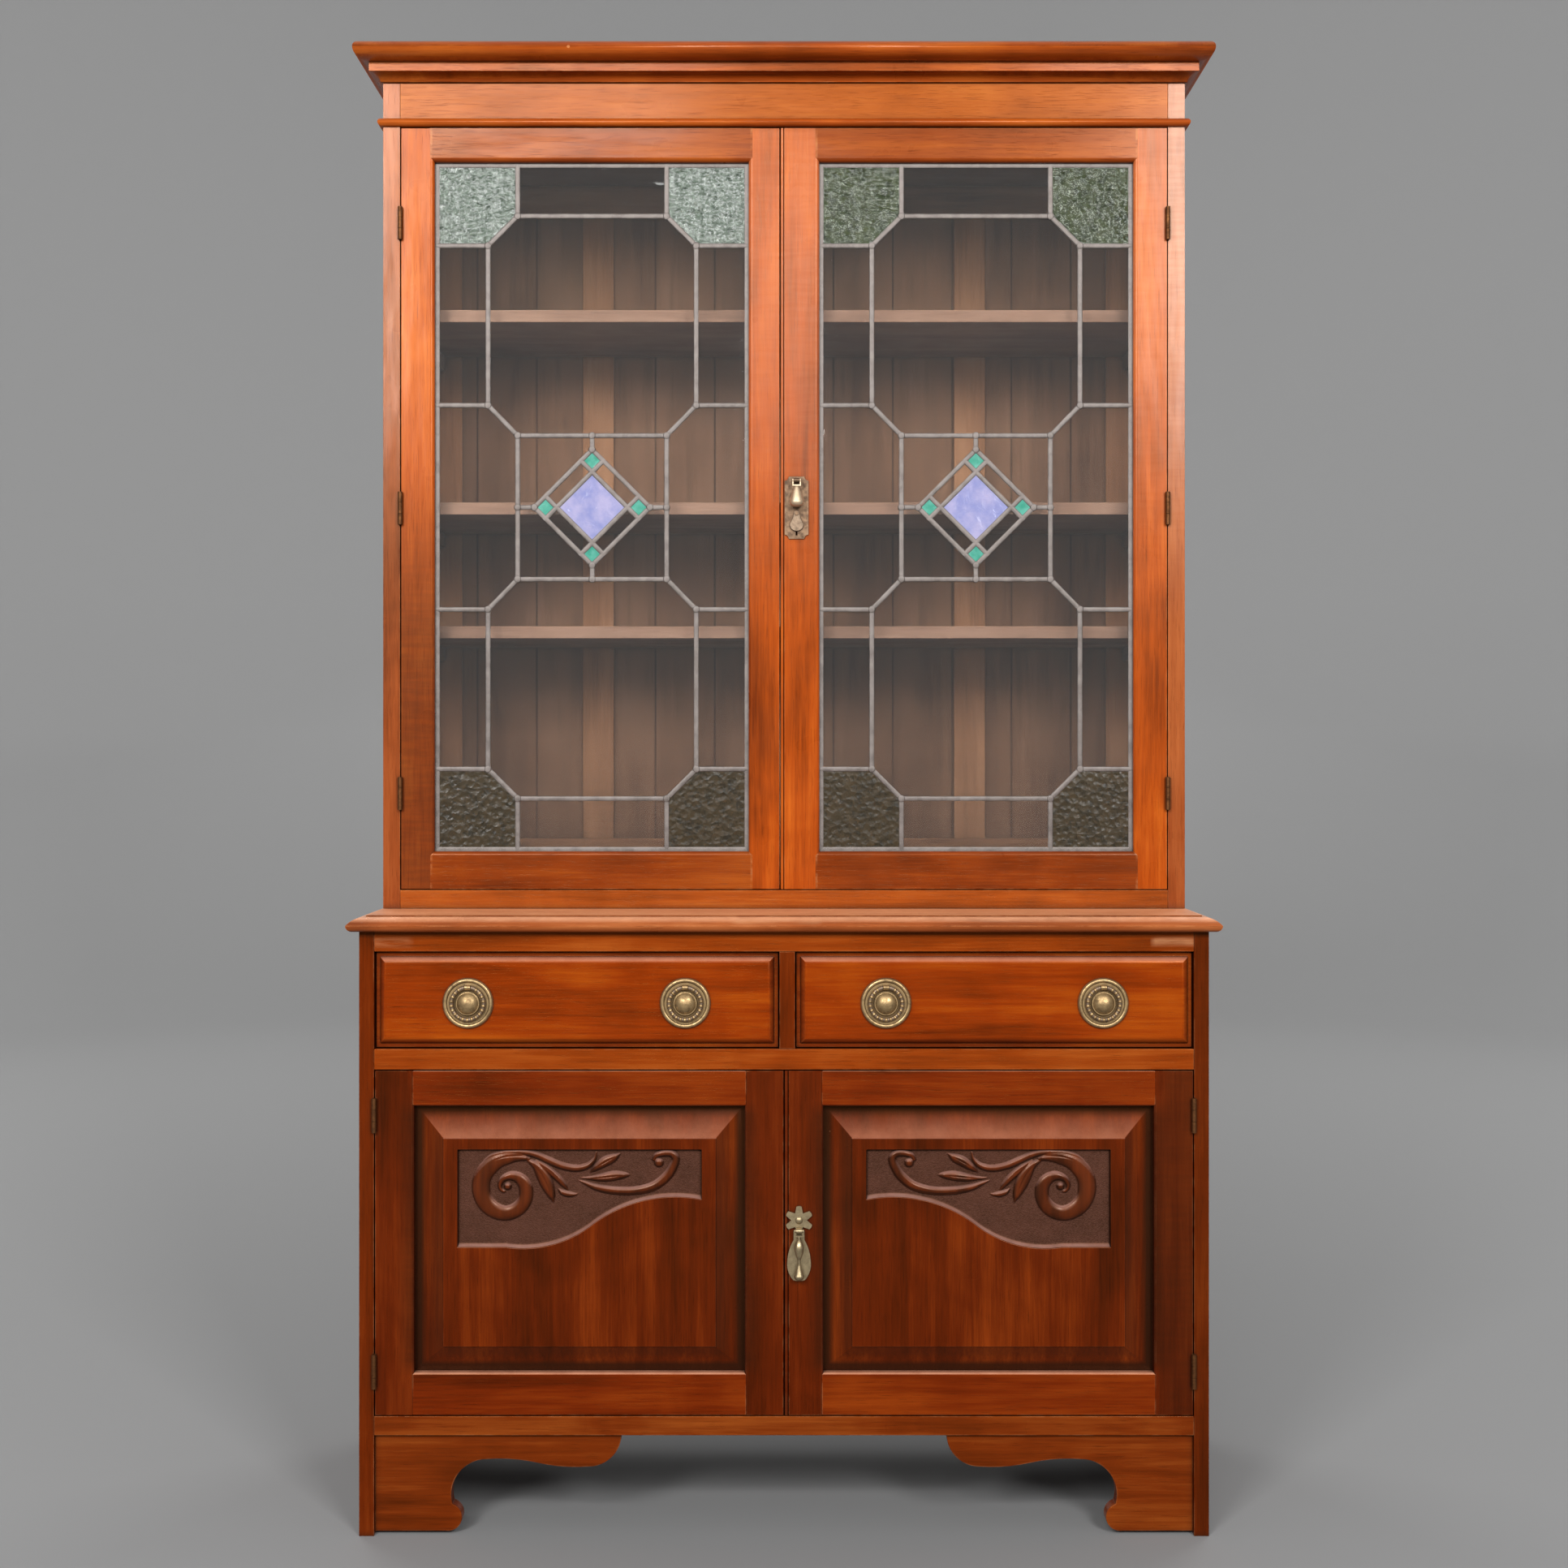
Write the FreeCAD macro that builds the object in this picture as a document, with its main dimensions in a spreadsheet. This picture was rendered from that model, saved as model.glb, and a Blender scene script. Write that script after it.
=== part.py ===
import FreeCAD, Part
import math
import os
from types import SimpleNamespace

import Sketcher

# Two-height glazed bookcase: a setback upper case with two leaded-glass doors
# stands on a base with two drawers and two fielded-panel doors.
# Millimetres, +Z up, the front faces -Y, origin on the floor under the middle.

SIZES = [
    # worktop and base carcass
    ("worktop_width", 1220.0, "left to right over the worktop"),
    ("worktop_depth", 440.0, "front to back over the worktop"),
    ("worktop_thickness", 22.0, "thickness of the worktop"),
    ("worktop_quirk", 2.0, "small step above the worktop's moulded edge"),
    ("worktop_round_width", 24.0, "moulded edge from its tip to the small step"),
    ("worktop_tip_level", 9.0, "tip of the moulded edge above its underside"),
    ("worktop_under_width", 9.0, "rounding under the tip of the moulded edge"),
    ("worktop_side_overhang", 15.0, "worktop past the base side"),
    ("worktop_front_overhang", 20.0, "worktop past the base front"),
    ("base_side_thickness", 21.0, "thickness of the base sides"),
    ("plinth_height", 141.0, "floor to the underside of the bottom rail"),
    ("bottom_rail_height", 27.0, "height of the rail under the lower doors"),
    ("cupboard_height", 485.0, "opening of the lower doors"),
    ("mid_rail_height", 29.0, "height of the rail under the drawers"),
    ("drawer_opening_height", 136.5, "opening of the drawers"),
    ("top_rail_height", 28.5, "height of the rail under the worktop"),
    ("rail_thickness", 22.0, "thickness of upright front rails"),
    ("drawer_rail_depth", 60.0, "front to back of the rails at the drawers"),
    ("divider_width", 22.0, "width of the upright between the drawers"),
    ("divider_offset", 4.5, "upright right of the middle"),
    ("board_thickness", 18.0, "thickness of inner boards and shelves"),
    ("back_thickness", 8.0, "thickness of the base back board"),
    ("back_lap", 8.0, "back board let into each side"),
    ("runner_width", 30.0, "width of a drawer runner"),
    ("guide_width", 16.0, "width of the guide between the drawers"),
    ("guide_height", 18.0, "height of the guide between the drawers"),
    ("base_shelf_level", 405.0, "floor to the underside of the cupboard shelf"),
    ("base_shelf_setback", 60.0, "cupboard shelf behind the doors"),
    # bracket feet
    ("bracket_length", 346.0, "length of a bracket along the front"),
    ("bracket_thickness", 20.0, "thickness of a bracket"),
    ("bracket_recess", 6.0, "bracket behind the base front"),
    ("bracket_toe_lift", 5.0, "bracket toe above the floor"),
    ("bracket_lobe", 46.0, "radius of the lobe at the inner end"),
    ("bracket_rise", 10.5, "rise of the long wave towards the foot"),
    ("bracket_hollow", 50.0, "radius of the hollow beside the foot"),
    ("bracket_foot_width", 107.0, "width of the foot at its waist"),
    ("bracket_toe_width", 100.0, "width of the foot at the floor"),
    # upper case
    ("case_side_setback", 23.0, "upper case inside each end of the worktop"),
    ("case_depth", 300.0, "front to back of the upper case"),
    ("case_side_thickness", 25.0, "thickness of the upper sides"),
    ("case_rail_height", 27.0, "rail between worktop and upper doors"),
    ("case_opening_height", 1117.0, "opening of the upper doors"),
    ("frieze_height", 114.0, "frieze from the door opening to the top"),
    ("bead_height", 12.0, "height of the bead under the frieze"),
    ("bead_depth", 7.0, "bead past the frieze"),
    ("cornice_cavetto_height", 12.0, "height of the hollow under the cornice"),
    ("cornice_cavetto_depth", 9.0, "depth of the hollow under the cornice"),
    ("cornice_fillet_height", 13.0, "height of the cornice's lower flat"),
    ("cornice_fillet_depth", 17.0, "lower flat past the frieze"),
    ("cornice_ovolo_height", 16.0, "height of the cornice's round"),
    ("cornice_ovolo_start", 21.0, "foot of the round past the frieze"),
    ("cornice_depth", 37.0, "cornice past the frieze"),
    ("cornice_nose_height", 9.0, "height of the cornice's top rounding"),
    ("cornice_nose_width", 6.0, "width of the cornice's top rounding"),
    ("case_back_thickness", 14.0, "thickness of the framed back"),
    ("case_panel_thickness", 6.0, "thickness of the back panels"),
    ("case_panel_tongue", 8.0, "back panel let into its frame"),
    ("back_stile_width", 50.0, "width of the back's uprights"),
    ("back_muntin_inset", 262.0, "muntins inside the sides of the case"),
    ("back_bottom_rail_height", 90.0, "height of the back's bottom rail"),
    ("back_top_rail_height", 160.0, "height of the back's top rail"),
    ("shelf_level_low", 389.0, "case floor rail to the top of the low shelf"),
    ("shelf_level_middle", 573.0, "case floor rail to the top of the middle shelf"),
    ("shelf_level_high", 859.0, "case floor rail to the top of the high shelf"),
    ("shelf_setback", 20.0, "shelves behind the doors"),
    ("shelf_play", 0.5, "shelf clear of each side"),
    ("cleat_height", 22.0, "height of a shelf cleat"),
    ("cleat_thickness", 14.0, "thickness of a shelf cleat"),
    # doors
    ("door_thickness", 22.0, "thickness of all doors and drawer fronts"),
    ("door_gap", 1.5, "gap round the doors and drawer fronts"),
    ("door_stop_height", 6.0, "carcass floor above the rail under a door"),
    ("door_stop_gap", 0.5, "closed door in front of its stop"),
    ("edge_bead_width", 5.0, "bead on the right doors' meeting edges"),
    ("edge_bead_quirk", 0.8, "groove beside the bead"),
    ("tenon_length", 30.0, "length of a tenon"),
    ("tenon_thickness", 6.0, "thickness of a tenon"),
    ("tenon_inset", 12.0, "tenon inside the edges of its rail"),
    ("upper_meeting_offset", 6.0, "upper doors meet left of the middle"),
    ("upper_stile_width", 48.5, "width of the upper hanging stiles"),
    ("upper_sight_start", 52.0, "middle to the glass of each upper door"),
    ("upper_top_rail_width", 49.0, "width of the upper doors' top rails"),
    ("upper_bottom_rail_width", 55.0, "width of the upper doors' bottom rails"),
    ("sash_ovolo", 6.0, "rounding of the glazed frames' inner edges"),
    ("sash_lip", 9.0, "wood in front of the glass"),
    ("sash_rebate", 9.0, "width of the glazing rebate"),
    ("lower_stile_width", 54.0, "width of the lower doors' stiles"),
    ("lower_top_rail_width", 49.5, "width of the lower doors' top rails"),
    ("lower_bottom_rail_width", 59.0, "width of the lower doors' bottom rails"),
    ("frame_chamfer", 2.0, "chamfer inside the lower door frames"),
    ("panel_groove", 8.0, "depth of the panel groove"),
    ("panel_edge", 6.0, "thickness of the panel in its groove"),
    ("panel_play", 0.5, "panel free of its frame"),
    ("panel_margin", 7.0, "flat margin round the panel's bevel"),
    ("panel_bevel_width", 40.5, "width of the panel's margin and bevel"),
    ("panel_field_drop", 5.0, "panel's field under the middle of its opening"),
    ("panel_field_depth", 3.0, "panel's field behind the door's front"),
    ("panel_field_step", 1.5, "step round the panel's field"),
    ("panel_back_inset", 3.0, "panel in front of the door's back"),
    # carved recess of the lower panels
    ("recess_depth", 6.0, "depth of the carved recess"),
    ("recess_length", 342.0, "length of the carved recess"),
    ("recess_drop_outer", 137.0, "height of the recess at its outer end"),
    ("recess_drop_inner", 70.0, "height of the recess at its inner end"),
    ("recess_flat", 68.0, "straight lower edge at the outer end"),
    ("recess_top_margin", 16.0, "recess under the top of the field"),
    # leaded glass
    ("lead_width", 7.0, "width of a lead"),
    ("lead_thickness", 5.0, "thickness of a lead"),
    ("lead_heart", 1.6, "heart of a lead between two panes"),
    ("lead_lap", 6.0, "border lead inside the rebate"),
    ("lead_border", 6.0, "border lead in view"),
    ("glass_thickness", 3.0, "thickness of the glass"),
    ("lead_side_offset", 77.0, "octagon inside the glass opening"),
    ("lead_corner_offset", 120.5, "corner panes' length"),
    ("lead_octagon_depth", 355.0, "glass edge to the octagon's lower corners"),
    ("lead_middle_offset", 399.5, "glass edge to the middle square"),
    ("lead_inner_diamond", 36.8, "middle to the sides of the inner diamond"),
    ("lead_outer_diamond", 60.0, "middle to the sides of the outer diamond"),
    # hinges
    ("hinge_pin_radius", 1.6, "radius of the hinge pins"),
    ("hinge_bore_clearance", 0.06, "play round the hinge pins"),
    ("hinge_knuckle_radius", 3.4, "radius of the hinge knuckles"),
    ("hinge_pin_offset", 4.0, "hinge pins in front of the doors"),
    ("hinge_leaf_thickness", 1.6, "thickness of a hinge leaf"),
    ("hinge_leaf_recess", 1.2, "hinge leaf let into the wood"),
    ("hinge_leaf_depth", 17.0, "hinge leaf front to back"),
    ("hinge_height", 48.0, "height of a hinge"),
    ("hinge_play", 0.4, "play between hinge knuckles"),
    ("lower_hinge_inset", 62.0, "lower hinges' middles inside the door ends"),
    ("upper_hinge_inset", 140.0, "upper end hinges' middles inside the door ends"),
    # drawers
    ("drawer_side_thickness", 10.0, "thickness of drawer sides and back"),
    ("drawer_side_height", 112.0, "height of the drawer sides"),
    ("drawer_back_clearance", 28.0, "drawer in front of the base back"),
    ("drawer_lift", 0.3, "drawer sides above their runners"),
    ("drawer_bottom_thickness", 6.0, "thickness of a drawer bottom"),
    ("drawer_bottom_raise", 12.0, "drawer bottom above the sides' lower edge"),
    ("drawer_bottom_tongue", 5.0, "drawer bottom let into the sides"),
    ("dovetail_count", 4.0, "dovetails on each drawer side"),
    ("dovetail_length", 9.0, "dovetail let into the drawer front"),
    ("dovetail_width", 20.0, "dovetail at its wide end"),
    ("dovetail_slope", 2.5, "dovetail narrower at each side of its root"),
    ("front_step_width", 6.0, "outer step round a drawer front"),
    ("front_step_depth", 8.0, "outer step behind the drawer front's field"),
    ("front_round_width", 10.5, "width of the round beside the field"),
    ("front_round_depth", 6.0, "foot of the round behind the field"),
    # drawer pulls
    ("pull_spacing_half", 152.0, "pull left and right of a drawer's middle"),
    ("pull_drop", 4.0, "pulls under a drawer's middle"),
    ("pull_plate_radius", 35.0, "radius of a pull's plate"),
    ("pull_plate_thickness", 2.2, "thickness of a pull's plate"),
    ("pull_rim_radius", 3.0, "rim of a pull's plate"),
    ("pull_boss_radius", 17.2, "radius of a pull's boss"),
    ("pull_boss_height", 2.6, "height of the boss's lower step"),
    ("pull_dome_radius", 15.0, "radius of a pull's dome"),
    ("pull_dome_height", 7.5, "height of a pull's dome"),
    ("ring_radius", 22.5, "radius of the ring's middle line"),
    ("ring_wire", 3.0, "radius of the ring's wire"),
    ("ring_gap", 0.4, "ring in front of its plate"),
    ("pivot_radius", 1.5, "radius of a handle's pivot"),
    ("pivot_clearance", 0.06, "play round a handle's pivot"),
    ("lug_width", 8.0, "width of a handle's lug"),
    ("lug_wall", 1.7, "wall of a lug round its pivot"),
    ("lug_side_gap", 0.6, "play beside a lug"),
    ("cheek_thickness", 1.6, "thickness of a drop's cheeks"),
    ("cheek_wall", 0.9, "wall of a cheek round its pin"),
    ("cheek_reach", 3.0, "cheeks past the lug"),
    ("cheek_bridge", 2.0, "height of the bridge between the cheeks"),
    # door handles
    ("upper_handle_offset", 18.4, "upper handle right of the middle"),
    ("upper_handle_level", 1455.5, "floor to the middle of the upper plate"),
    ("upper_plate_width", 34.8, "width of the upper plate"),
    ("upper_plate_height", 91.0, "height of the upper plate"),
    ("upper_plate_notch", 6.0, "hollow at the upper plate's corners"),
    ("handle_plate_thickness", 2.0, "thickness of the door handles' plates"),
    ("upper_drop_length", 38.5, "pivot to the foot of the upper drop"),
    ("upper_drop_radius", 10.4, "radius of the upper drop"),
    ("upper_drop_foot", 5.0, "radius of the upper drop's flat foot"),
    ("upper_drop_belly", 7.0, "upper drop's foot to its widest"),
    ("upper_drop_shoulder", 10.0, "upper drop's pivot to the end of its taper"),
    ("upper_drop_taper", 3.6, "radius of the upper drop's taper at its end"),
    ("drop_neck", 2.2, "radius of a drop's neck"),
    ("upper_drop_pivot", 38.5, "upper drop's pivot above the plate's middle"),
    ("keyhole_drop", 34.0, "keyhole under the plate's middle"),
    ("keyhole_radius", 3.2, "radius of the keyhole"),
    ("keyhole_slot_width", 2.8, "width of the keyhole's slot"),
    ("keyhole_slot_length", 10.0, "length of the keyhole's slot"),
    ("keyhole_depth", 12.0, "depth of the keyhole in the door"),
    ("cover_pivot_drop", 8.5, "key cover's pivot under the plate's middle"),
    ("cover_pivot_radius", 1.8, "radius of the key cover's pin"),
    ("cover_head_radius", 4.0, "radius of the key cover round its pin"),
    ("cover_length", 16.0, "pin to the middle of the key cover's bulb"),
    ("cover_bulb_radius", 10.0, "radius of the key cover's bulb"),
    ("cover_thickness", 3.0, "thickness of the key cover"),
    ("lower_handle_offset", 21.0, "lower handle right of the middle"),
    ("lower_star_level", 443.0, "floor to the middle of the star rosette"),
    ("lower_star_radius", 18.8, "star rosette to its points"),
    ("lower_star_point", 3.6, "half width of the star's points"),
    ("lower_star_waist", 10.8, "star rosette to its hollows"),
    ("lower_star_thickness", 3.0, "thickness of the star rosette"),
    ("lower_boss_radius", 5.5, "radius of the star's boss"),
    ("lower_boss_height", 2.8, "height of the star's boss"),
    ("lower_plate_bottom", 84.0, "star's middle to the foot of the pear plate"),
    ("lower_plate_radius", 16.3, "half width of the pear plate"),
    ("lower_plate_neck", 7.6, "half width of the pear plate's neck"),
    ("lower_plate_shoulder", 28.0, "star's middle to the foot of the pear plate's neck"),
    ("lower_plate_neck_height", 14.0, "height of the pear plate's neck"),
    ("lower_plate_belly", 27.0, "pear plate's foot to its widest"),
    ("lower_plate_foot", 8.0, "half width of the pear plate's foot"),
    ("lower_drop_pivot", 13.5, "lower drop's pivot under the star's middle"),
    ("lower_drop_length", 68.0, "pivot to the foot of the lower drop"),
    ("lower_drop_upper_bulb", 6.6, "radius of the lower drop's upper bulb"),
    ("lower_drop_lower_bulb", 7.0, "radius of the lower drop's lower bulb"),
    ("lower_drop_foot", 4.2, "radius of the lower drop's flat foot"),
    ("lower_drop_belly", 6.0, "lower drop's foot to the widest of its lower bulb"),
    ("lower_drop_bulb_end", 21.0, "lower drop's foot to the end of its lower bulb"),
    ("lower_drop_waist_end", 28.0, "lower drop's foot to the end of its waist"),
    ("lower_drop_swell", 43.0, "lower drop's foot to the widest of its upper bulb"),
    ("lower_drop_shoulder", 13.0, "lower drop's pivot to the top of its upper bulb"),
]

doc = FreeCAD.newDocument("glazed_bookcase")
sheet = doc.addObject("Spreadsheet::Sheet", "Sizes")


class Size:
    """A length and the spreadsheet formula that gives it."""

    def __init__(self, value, formula):
        self.value = value
        self.formula = formula

    def join(self, sign, other, value):
        return Size(value, "(" + self.formula + " " + sign + " " + other.formula + ")")

    def __add__(self, other):
        other = as_size(other)
        return self.join("+", other, self.value + other.value)

    def __sub__(self, other):
        other = as_size(other)
        return self.join("-", other, self.value - other.value)

    def __mul__(self, other):
        other = as_size(other)
        return self.join("*", other, self.value * other.value)

    def __truediv__(self, other):
        other = as_size(other)
        return self.join("/", other, self.value / other.value)

    def __radd__(self, other):
        return as_size(other) + self

    def __rsub__(self, other):
        return as_size(other) - self

    def __rmul__(self, other):
        return as_size(other) * self

    def __neg__(self):
        return as_size(0) - self


def as_size(term):
    if isinstance(term, Size):
        return term
    return Size(float(term), "({:.9f})".format(float(term)))


def read_sizes():
    """Fill the sheet and give each of its cells as a Size."""
    for row, (alias, value, meaning) in enumerate(SIZES, start=1):
        sheet.set("A{}".format(row), alias)
        sheet.set("B{}".format(row), str(value))
        sheet.setAlias("B{}".format(row), alias)
        sheet.set("C{}".format(row), meaning)
    doc.recompute()
    cells = {alias: Size(float(sheet.get(alias)), "Sizes." + alias) for alias, value, meaning in SIZES}
    return SimpleNamespace(**cells)


size = read_sizes()

# Levels above the floor
rail_level = size.plinth_height
cupboard_level = rail_level + size.bottom_rail_height
mid_rail_level = cupboard_level + size.cupboard_height
drawer_level = mid_rail_level + size.mid_rail_height
top_rail_level = drawer_level + size.drawer_opening_height
base_top = top_rail_level + size.top_rail_height
worktop_level = base_top + size.worktop_thickness
case_floor = worktop_level + size.case_rail_height
frieze_level = case_floor + size.case_opening_height
top_level = frieze_level + size.frieze_height

# Depths, from the front (negative) to the back
front = -size.worktop_depth / 2
back = size.worktop_depth / 2
base_front = front + size.worktop_front_overhang
case_front = back - size.case_depth

# Half widths
base_half = size.worktop_width / 2 - size.worktop_side_overhang
base_inner = base_half - size.base_side_thickness
case_half = size.worktop_width / 2 - size.case_side_setback
case_inner = case_half - size.case_side_thickness

# The arc of a quarter circle, as the tangent of a quarter of its angle
QUARTER = math.tan(math.pi / 8)

nodes = []


def bind(thing, path, length):
    """Tie one property to the sheet."""
    length = as_size(length)
    if "Sizes." in length.formula:
        thing.setExpression(path, length.formula)
    elif "." in path:
        base = thing.Placement.Base
        setattr(base, path[-1], length.value)
        thing.Placement = FreeCAD.Placement(base, thing.Placement.Rotation)
    else:
        setattr(thing, path, length.value)


def place(thing, x=0, y=0, z=0):
    for axis, length in zip("xyz", (x, y, z)):
        bind(thing, ".Placement.Base." + axis, length)
    return thing


def node(name, thing):
    """Give a finished sub-part its name."""
    thing.Label = name
    nodes.append(thing)
    return thing


def box(x0, x1, y0, y1, z0, z1):
    """A board between two corners."""
    board = doc.addObject("Part::Box", "board")
    bind(board, "Length", as_size(x1) - x0)
    bind(board, "Width", as_size(y1) - y0)
    bind(board, "Height", as_size(z1) - z0)
    return place(board, x0, y0, z0)


def cylinder(radius, height, x, y, z, axis=(0, 0, 1)):
    """A round bar that starts at a point and runs along an axis."""
    bar = doc.addObject("Part::Cylinder", "bar")
    bind(bar, "Radius", radius)
    bind(bar, "Height", height)
    turn = FreeCAD.Rotation(FreeCAD.Vector(0, 0, 1), FreeCAD.Vector(*axis))
    bar.Placement = FreeCAD.Placement(FreeCAD.Vector(), turn)
    return place(bar, x, y, z)


def group(members):
    """Separate solids that share one sub-part."""
    compound = doc.addObject("Part::Compound", "group")
    compound.Links = members
    return compound


def fuse(members):
    fusion = doc.addObject("Part::MultiFuse", "fusion")
    fusion.Shapes = members
    return fusion


def cut(base, tools):
    remainder = doc.addObject("Part::Cut", "cut")
    remainder.Base = base
    remainder.Tool = tools[0] if len(tools) == 1 else fuse(tools)
    return remainder


def common(first, second):
    thing = doc.addObject("Part::MultiCommon", "common")
    thing.Shapes = [first, second]
    return thing


def new_body(name):
    return doc.addObject("PartDesign::Body", name)


def new_sketch(body, role):
    """A sketch on one of the body's own origin planes."""
    plane = next(part for part in body.Origin.OriginFeatures if part.Role == role)
    sketch = body.newObject("Sketcher::SketchObject", "outline")
    sketch.AttachmentSupport = [(plane, "")]
    sketch.MapMode = "FlatFace"
    return sketch


def fix(sketch, kind, element, point, length):
    """Hold one coordinate of a sketch point at a length."""
    length = as_size(length)
    index = sketch.addConstraint(Sketcher.Constraint(kind, element, point, length.value))
    if "Sizes." in length.formula:
        sketch.setExpression("Constraints[{}]".format(index), length.formula)


def outline(sketch, corners):
    """Close an outline through corners (u, v) or (u, v, bulge).

    A bulge makes the run that ends at its corner an arc: it is the tangent of
    a quarter of the arc's angle, positive when the arc turns to the left.
    """
    runs = []
    for number, corner in enumerate(corners):
        start = corners[number - 1]
        runs.append((as_size(start[0]), as_size(start[1]), as_size(corner[0]), as_size(corner[1]),
                     corner[2] if len(corner) == 3 else 0))
    first = sketch.GeometryCount
    ends = []
    for number, (u0, v0, u1, v1, bulge) in enumerate(runs):
        element = first + number
        if not bulge:
            sketch.addGeometry(Part.LineSegment(FreeCAD.Vector(u0.value, v0.value, 0),
                                                FreeCAD.Vector(u1.value, v1.value, 0)), False)
            ends.append((element, 1, 2))
            continue
        lean = (1 - bulge * bulge) / (4 * bulge)
        centre_u = (u0 + u1) / 2 - (v1 - v0) * lean
        centre_v = (v0 + v1) / 2 + (u1 - u0) * lean
        sketch.addGeometry(arc_of_circle(u0, v0, u1, v1, centre_u, centre_v, bulge), False)
        ends.append((element, 1, 2) if bulge > 0 else (element, 2, 1))
        if abs(v1.value - v0.value) > abs(u1.value - u0.value):
            fix(sketch, "DistanceX", element, 3, centre_u)
        else:
            fix(sketch, "DistanceY", element, 3, centre_v)
    for number, (element, start, end) in enumerate(ends):
        before = ends[number - 1]
        sketch.addConstraint(Sketcher.Constraint("Coincident", before[0], before[2], element, start))
        fix(sketch, "DistanceX", element, start, runs[number][0])
        fix(sketch, "DistanceY", element, start, runs[number][1])
    return sketch


def arc_of_circle(u0, v0, u1, v1, centre_u, centre_v, bulge):
    centre = FreeCAD.Vector(centre_u.value, centre_v.value, 0)
    start = FreeCAD.Vector(u0.value, v0.value, 0) - centre
    end = FreeCAD.Vector(u1.value, v1.value, 0) - centre
    if bulge < 0:
        start, end = end, start
    first = math.atan2(start.y, start.x)
    last = math.atan2(end.y, end.x)
    if last < first:
        last += 2 * math.pi
    circle = Part.Circle(centre, FreeCAD.Vector(0, 0, 1), start.Length)
    return Part.ArcOfCircle(circle, first, last)


def pad(body, sketch, length, backwards=False):
    feature = body.newObject("PartDesign::Pad", "pad")
    feature.Profile = sketch
    bind(feature, "Length", length)
    feature.Reversed = backwards
    return feature


def pocket(body, sketch, length, backwards=False):
    feature = body.newObject("PartDesign::Pocket", "pocket")
    feature.Profile = sketch
    bind(feature, "Length", length)
    feature.Reversed = backwards
    return feature


def upright(name, corners, low, high):
    """A piece of one plan outline (x, y) between two levels."""
    body = new_body(name)
    pad(body, outline(new_sketch(body, "XY_Plane"), corners), as_size(high) - low)
    return place(body, z=low)


def crossways(name, corners, left, right):
    """A piece of one end outline (y, z) that runs left to right."""
    body = new_body(name)
    pad(body, outline(new_sketch(body, "YZ_Plane"), corners), as_size(right) - left)
    return place(body, x=left)


def facing(name, corners, near, far):
    """A piece of one front outline (x, z) that runs front to back."""
    body = new_body(name)
    pad(body, outline(new_sketch(body, "XZ_Plane"), corners), as_size(far) - near, backwards=True)
    return place(body, y=near)


def side_panel(name, side, half, thickness, near, low, high, lap, back_depth):
    """A side board with a rebate for the back; side is -1 left, +1 right."""
    inner = half - thickness
    corners = [
        (side * half, near),
        (side * inner, near),
        (side * inner, back - back_depth),
        (side * (inner + lap), back - back_depth),
        (side * (inner + lap), back),
        (side * half, back),
    ]
    return upright(name, corners, low, high)


def hinge_recesses(side, joint, face, middles):
    """The space that hinge leaves take out of the wood beside a joint."""
    reach = size.hinge_leaf_recess
    spaces = []
    for middle in middles:
        low = middle - size.hinge_height / 2
        high = middle + size.hinge_height / 2
        edge = side * joint
        outer = edge + side * reach
        inner = edge - side * (size.door_gap + reach)
        x0, x1 = (outer, inner) if side < 0 else (inner, outer)
        spaces.append(box(x0, x1, face, face + size.hinge_leaf_depth, low, high))
    return spaces


def lower_hinge_levels():
    low = cupboard_level + size.door_gap + size.lower_hinge_inset
    high = mid_rail_level - size.door_gap - size.lower_hinge_inset
    return [low, high]


def upper_hinge_levels():
    low = case_floor + size.door_gap + size.upper_hinge_inset
    high = frieze_level - size.door_gap - size.upper_hinge_inset
    return [low, (low + high) / 2, high]


# ---------------------------------------------------------------- base carcass

def base_sides():
    members = []
    for side in (-1, 1):
        panel = side_panel("base_side", side, base_half, size.base_side_thickness, base_front,
                           as_size(0), base_top, size.back_lap, size.back_thickness)
        members.append(cut(panel, hinge_recesses(side, base_inner, base_front, lower_hinge_levels())))
    node("base_sides", group(members))


def worktop():
    """A board with a thumb moulding on its front and both ends, mitred at the corners."""
    half = size.worktop_width / 2
    tip = base_top + size.worktop_tip_level
    under = size.worktop_under_width
    wide = size.worktop_round_width
    edge = worktop_level - size.worktop_quirk
    turn = 0.25
    along = crossways("worktop_depth", [
        (front + under, base_top, QUARTER),
        (back, base_top),
        (back, worktop_level),
        (front + wide, worktop_level),
        (front + wide, edge),
        (front, tip, turn),
    ], -half, half)
    across = facing("worktop_width", [
        (half - under, base_top),
        (half, tip, QUARTER),
        (half - wide, edge, turn),
        (half - wide, worktop_level),
        (wide - half, worktop_level),
        (wide - half, edge),
        (-half, tip, turn),
        (under - half, base_top, QUARTER),
    ], front, back)
    node("worktop", common(along, across))


def base_rails():
    depth = base_front + size.drawer_rail_depth
    thin = base_front + size.rail_thickness
    node("base_rails", group([
        box(-base_inner, base_inner, base_front, depth, top_rail_level, base_top),
        box(-base_inner, base_inner, base_front, depth, mid_rail_level, drawer_level),
        box(-base_inner, base_inner, base_front, thin, rail_level, cupboard_level),
    ]))


def drawer_divider():
    middle = size.divider_offset
    half = size.divider_width / 2
    node("drawer_divider", box(middle - half, middle + half, base_front,
                               base_front + size.drawer_rail_depth, drawer_level, top_rail_level))


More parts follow.
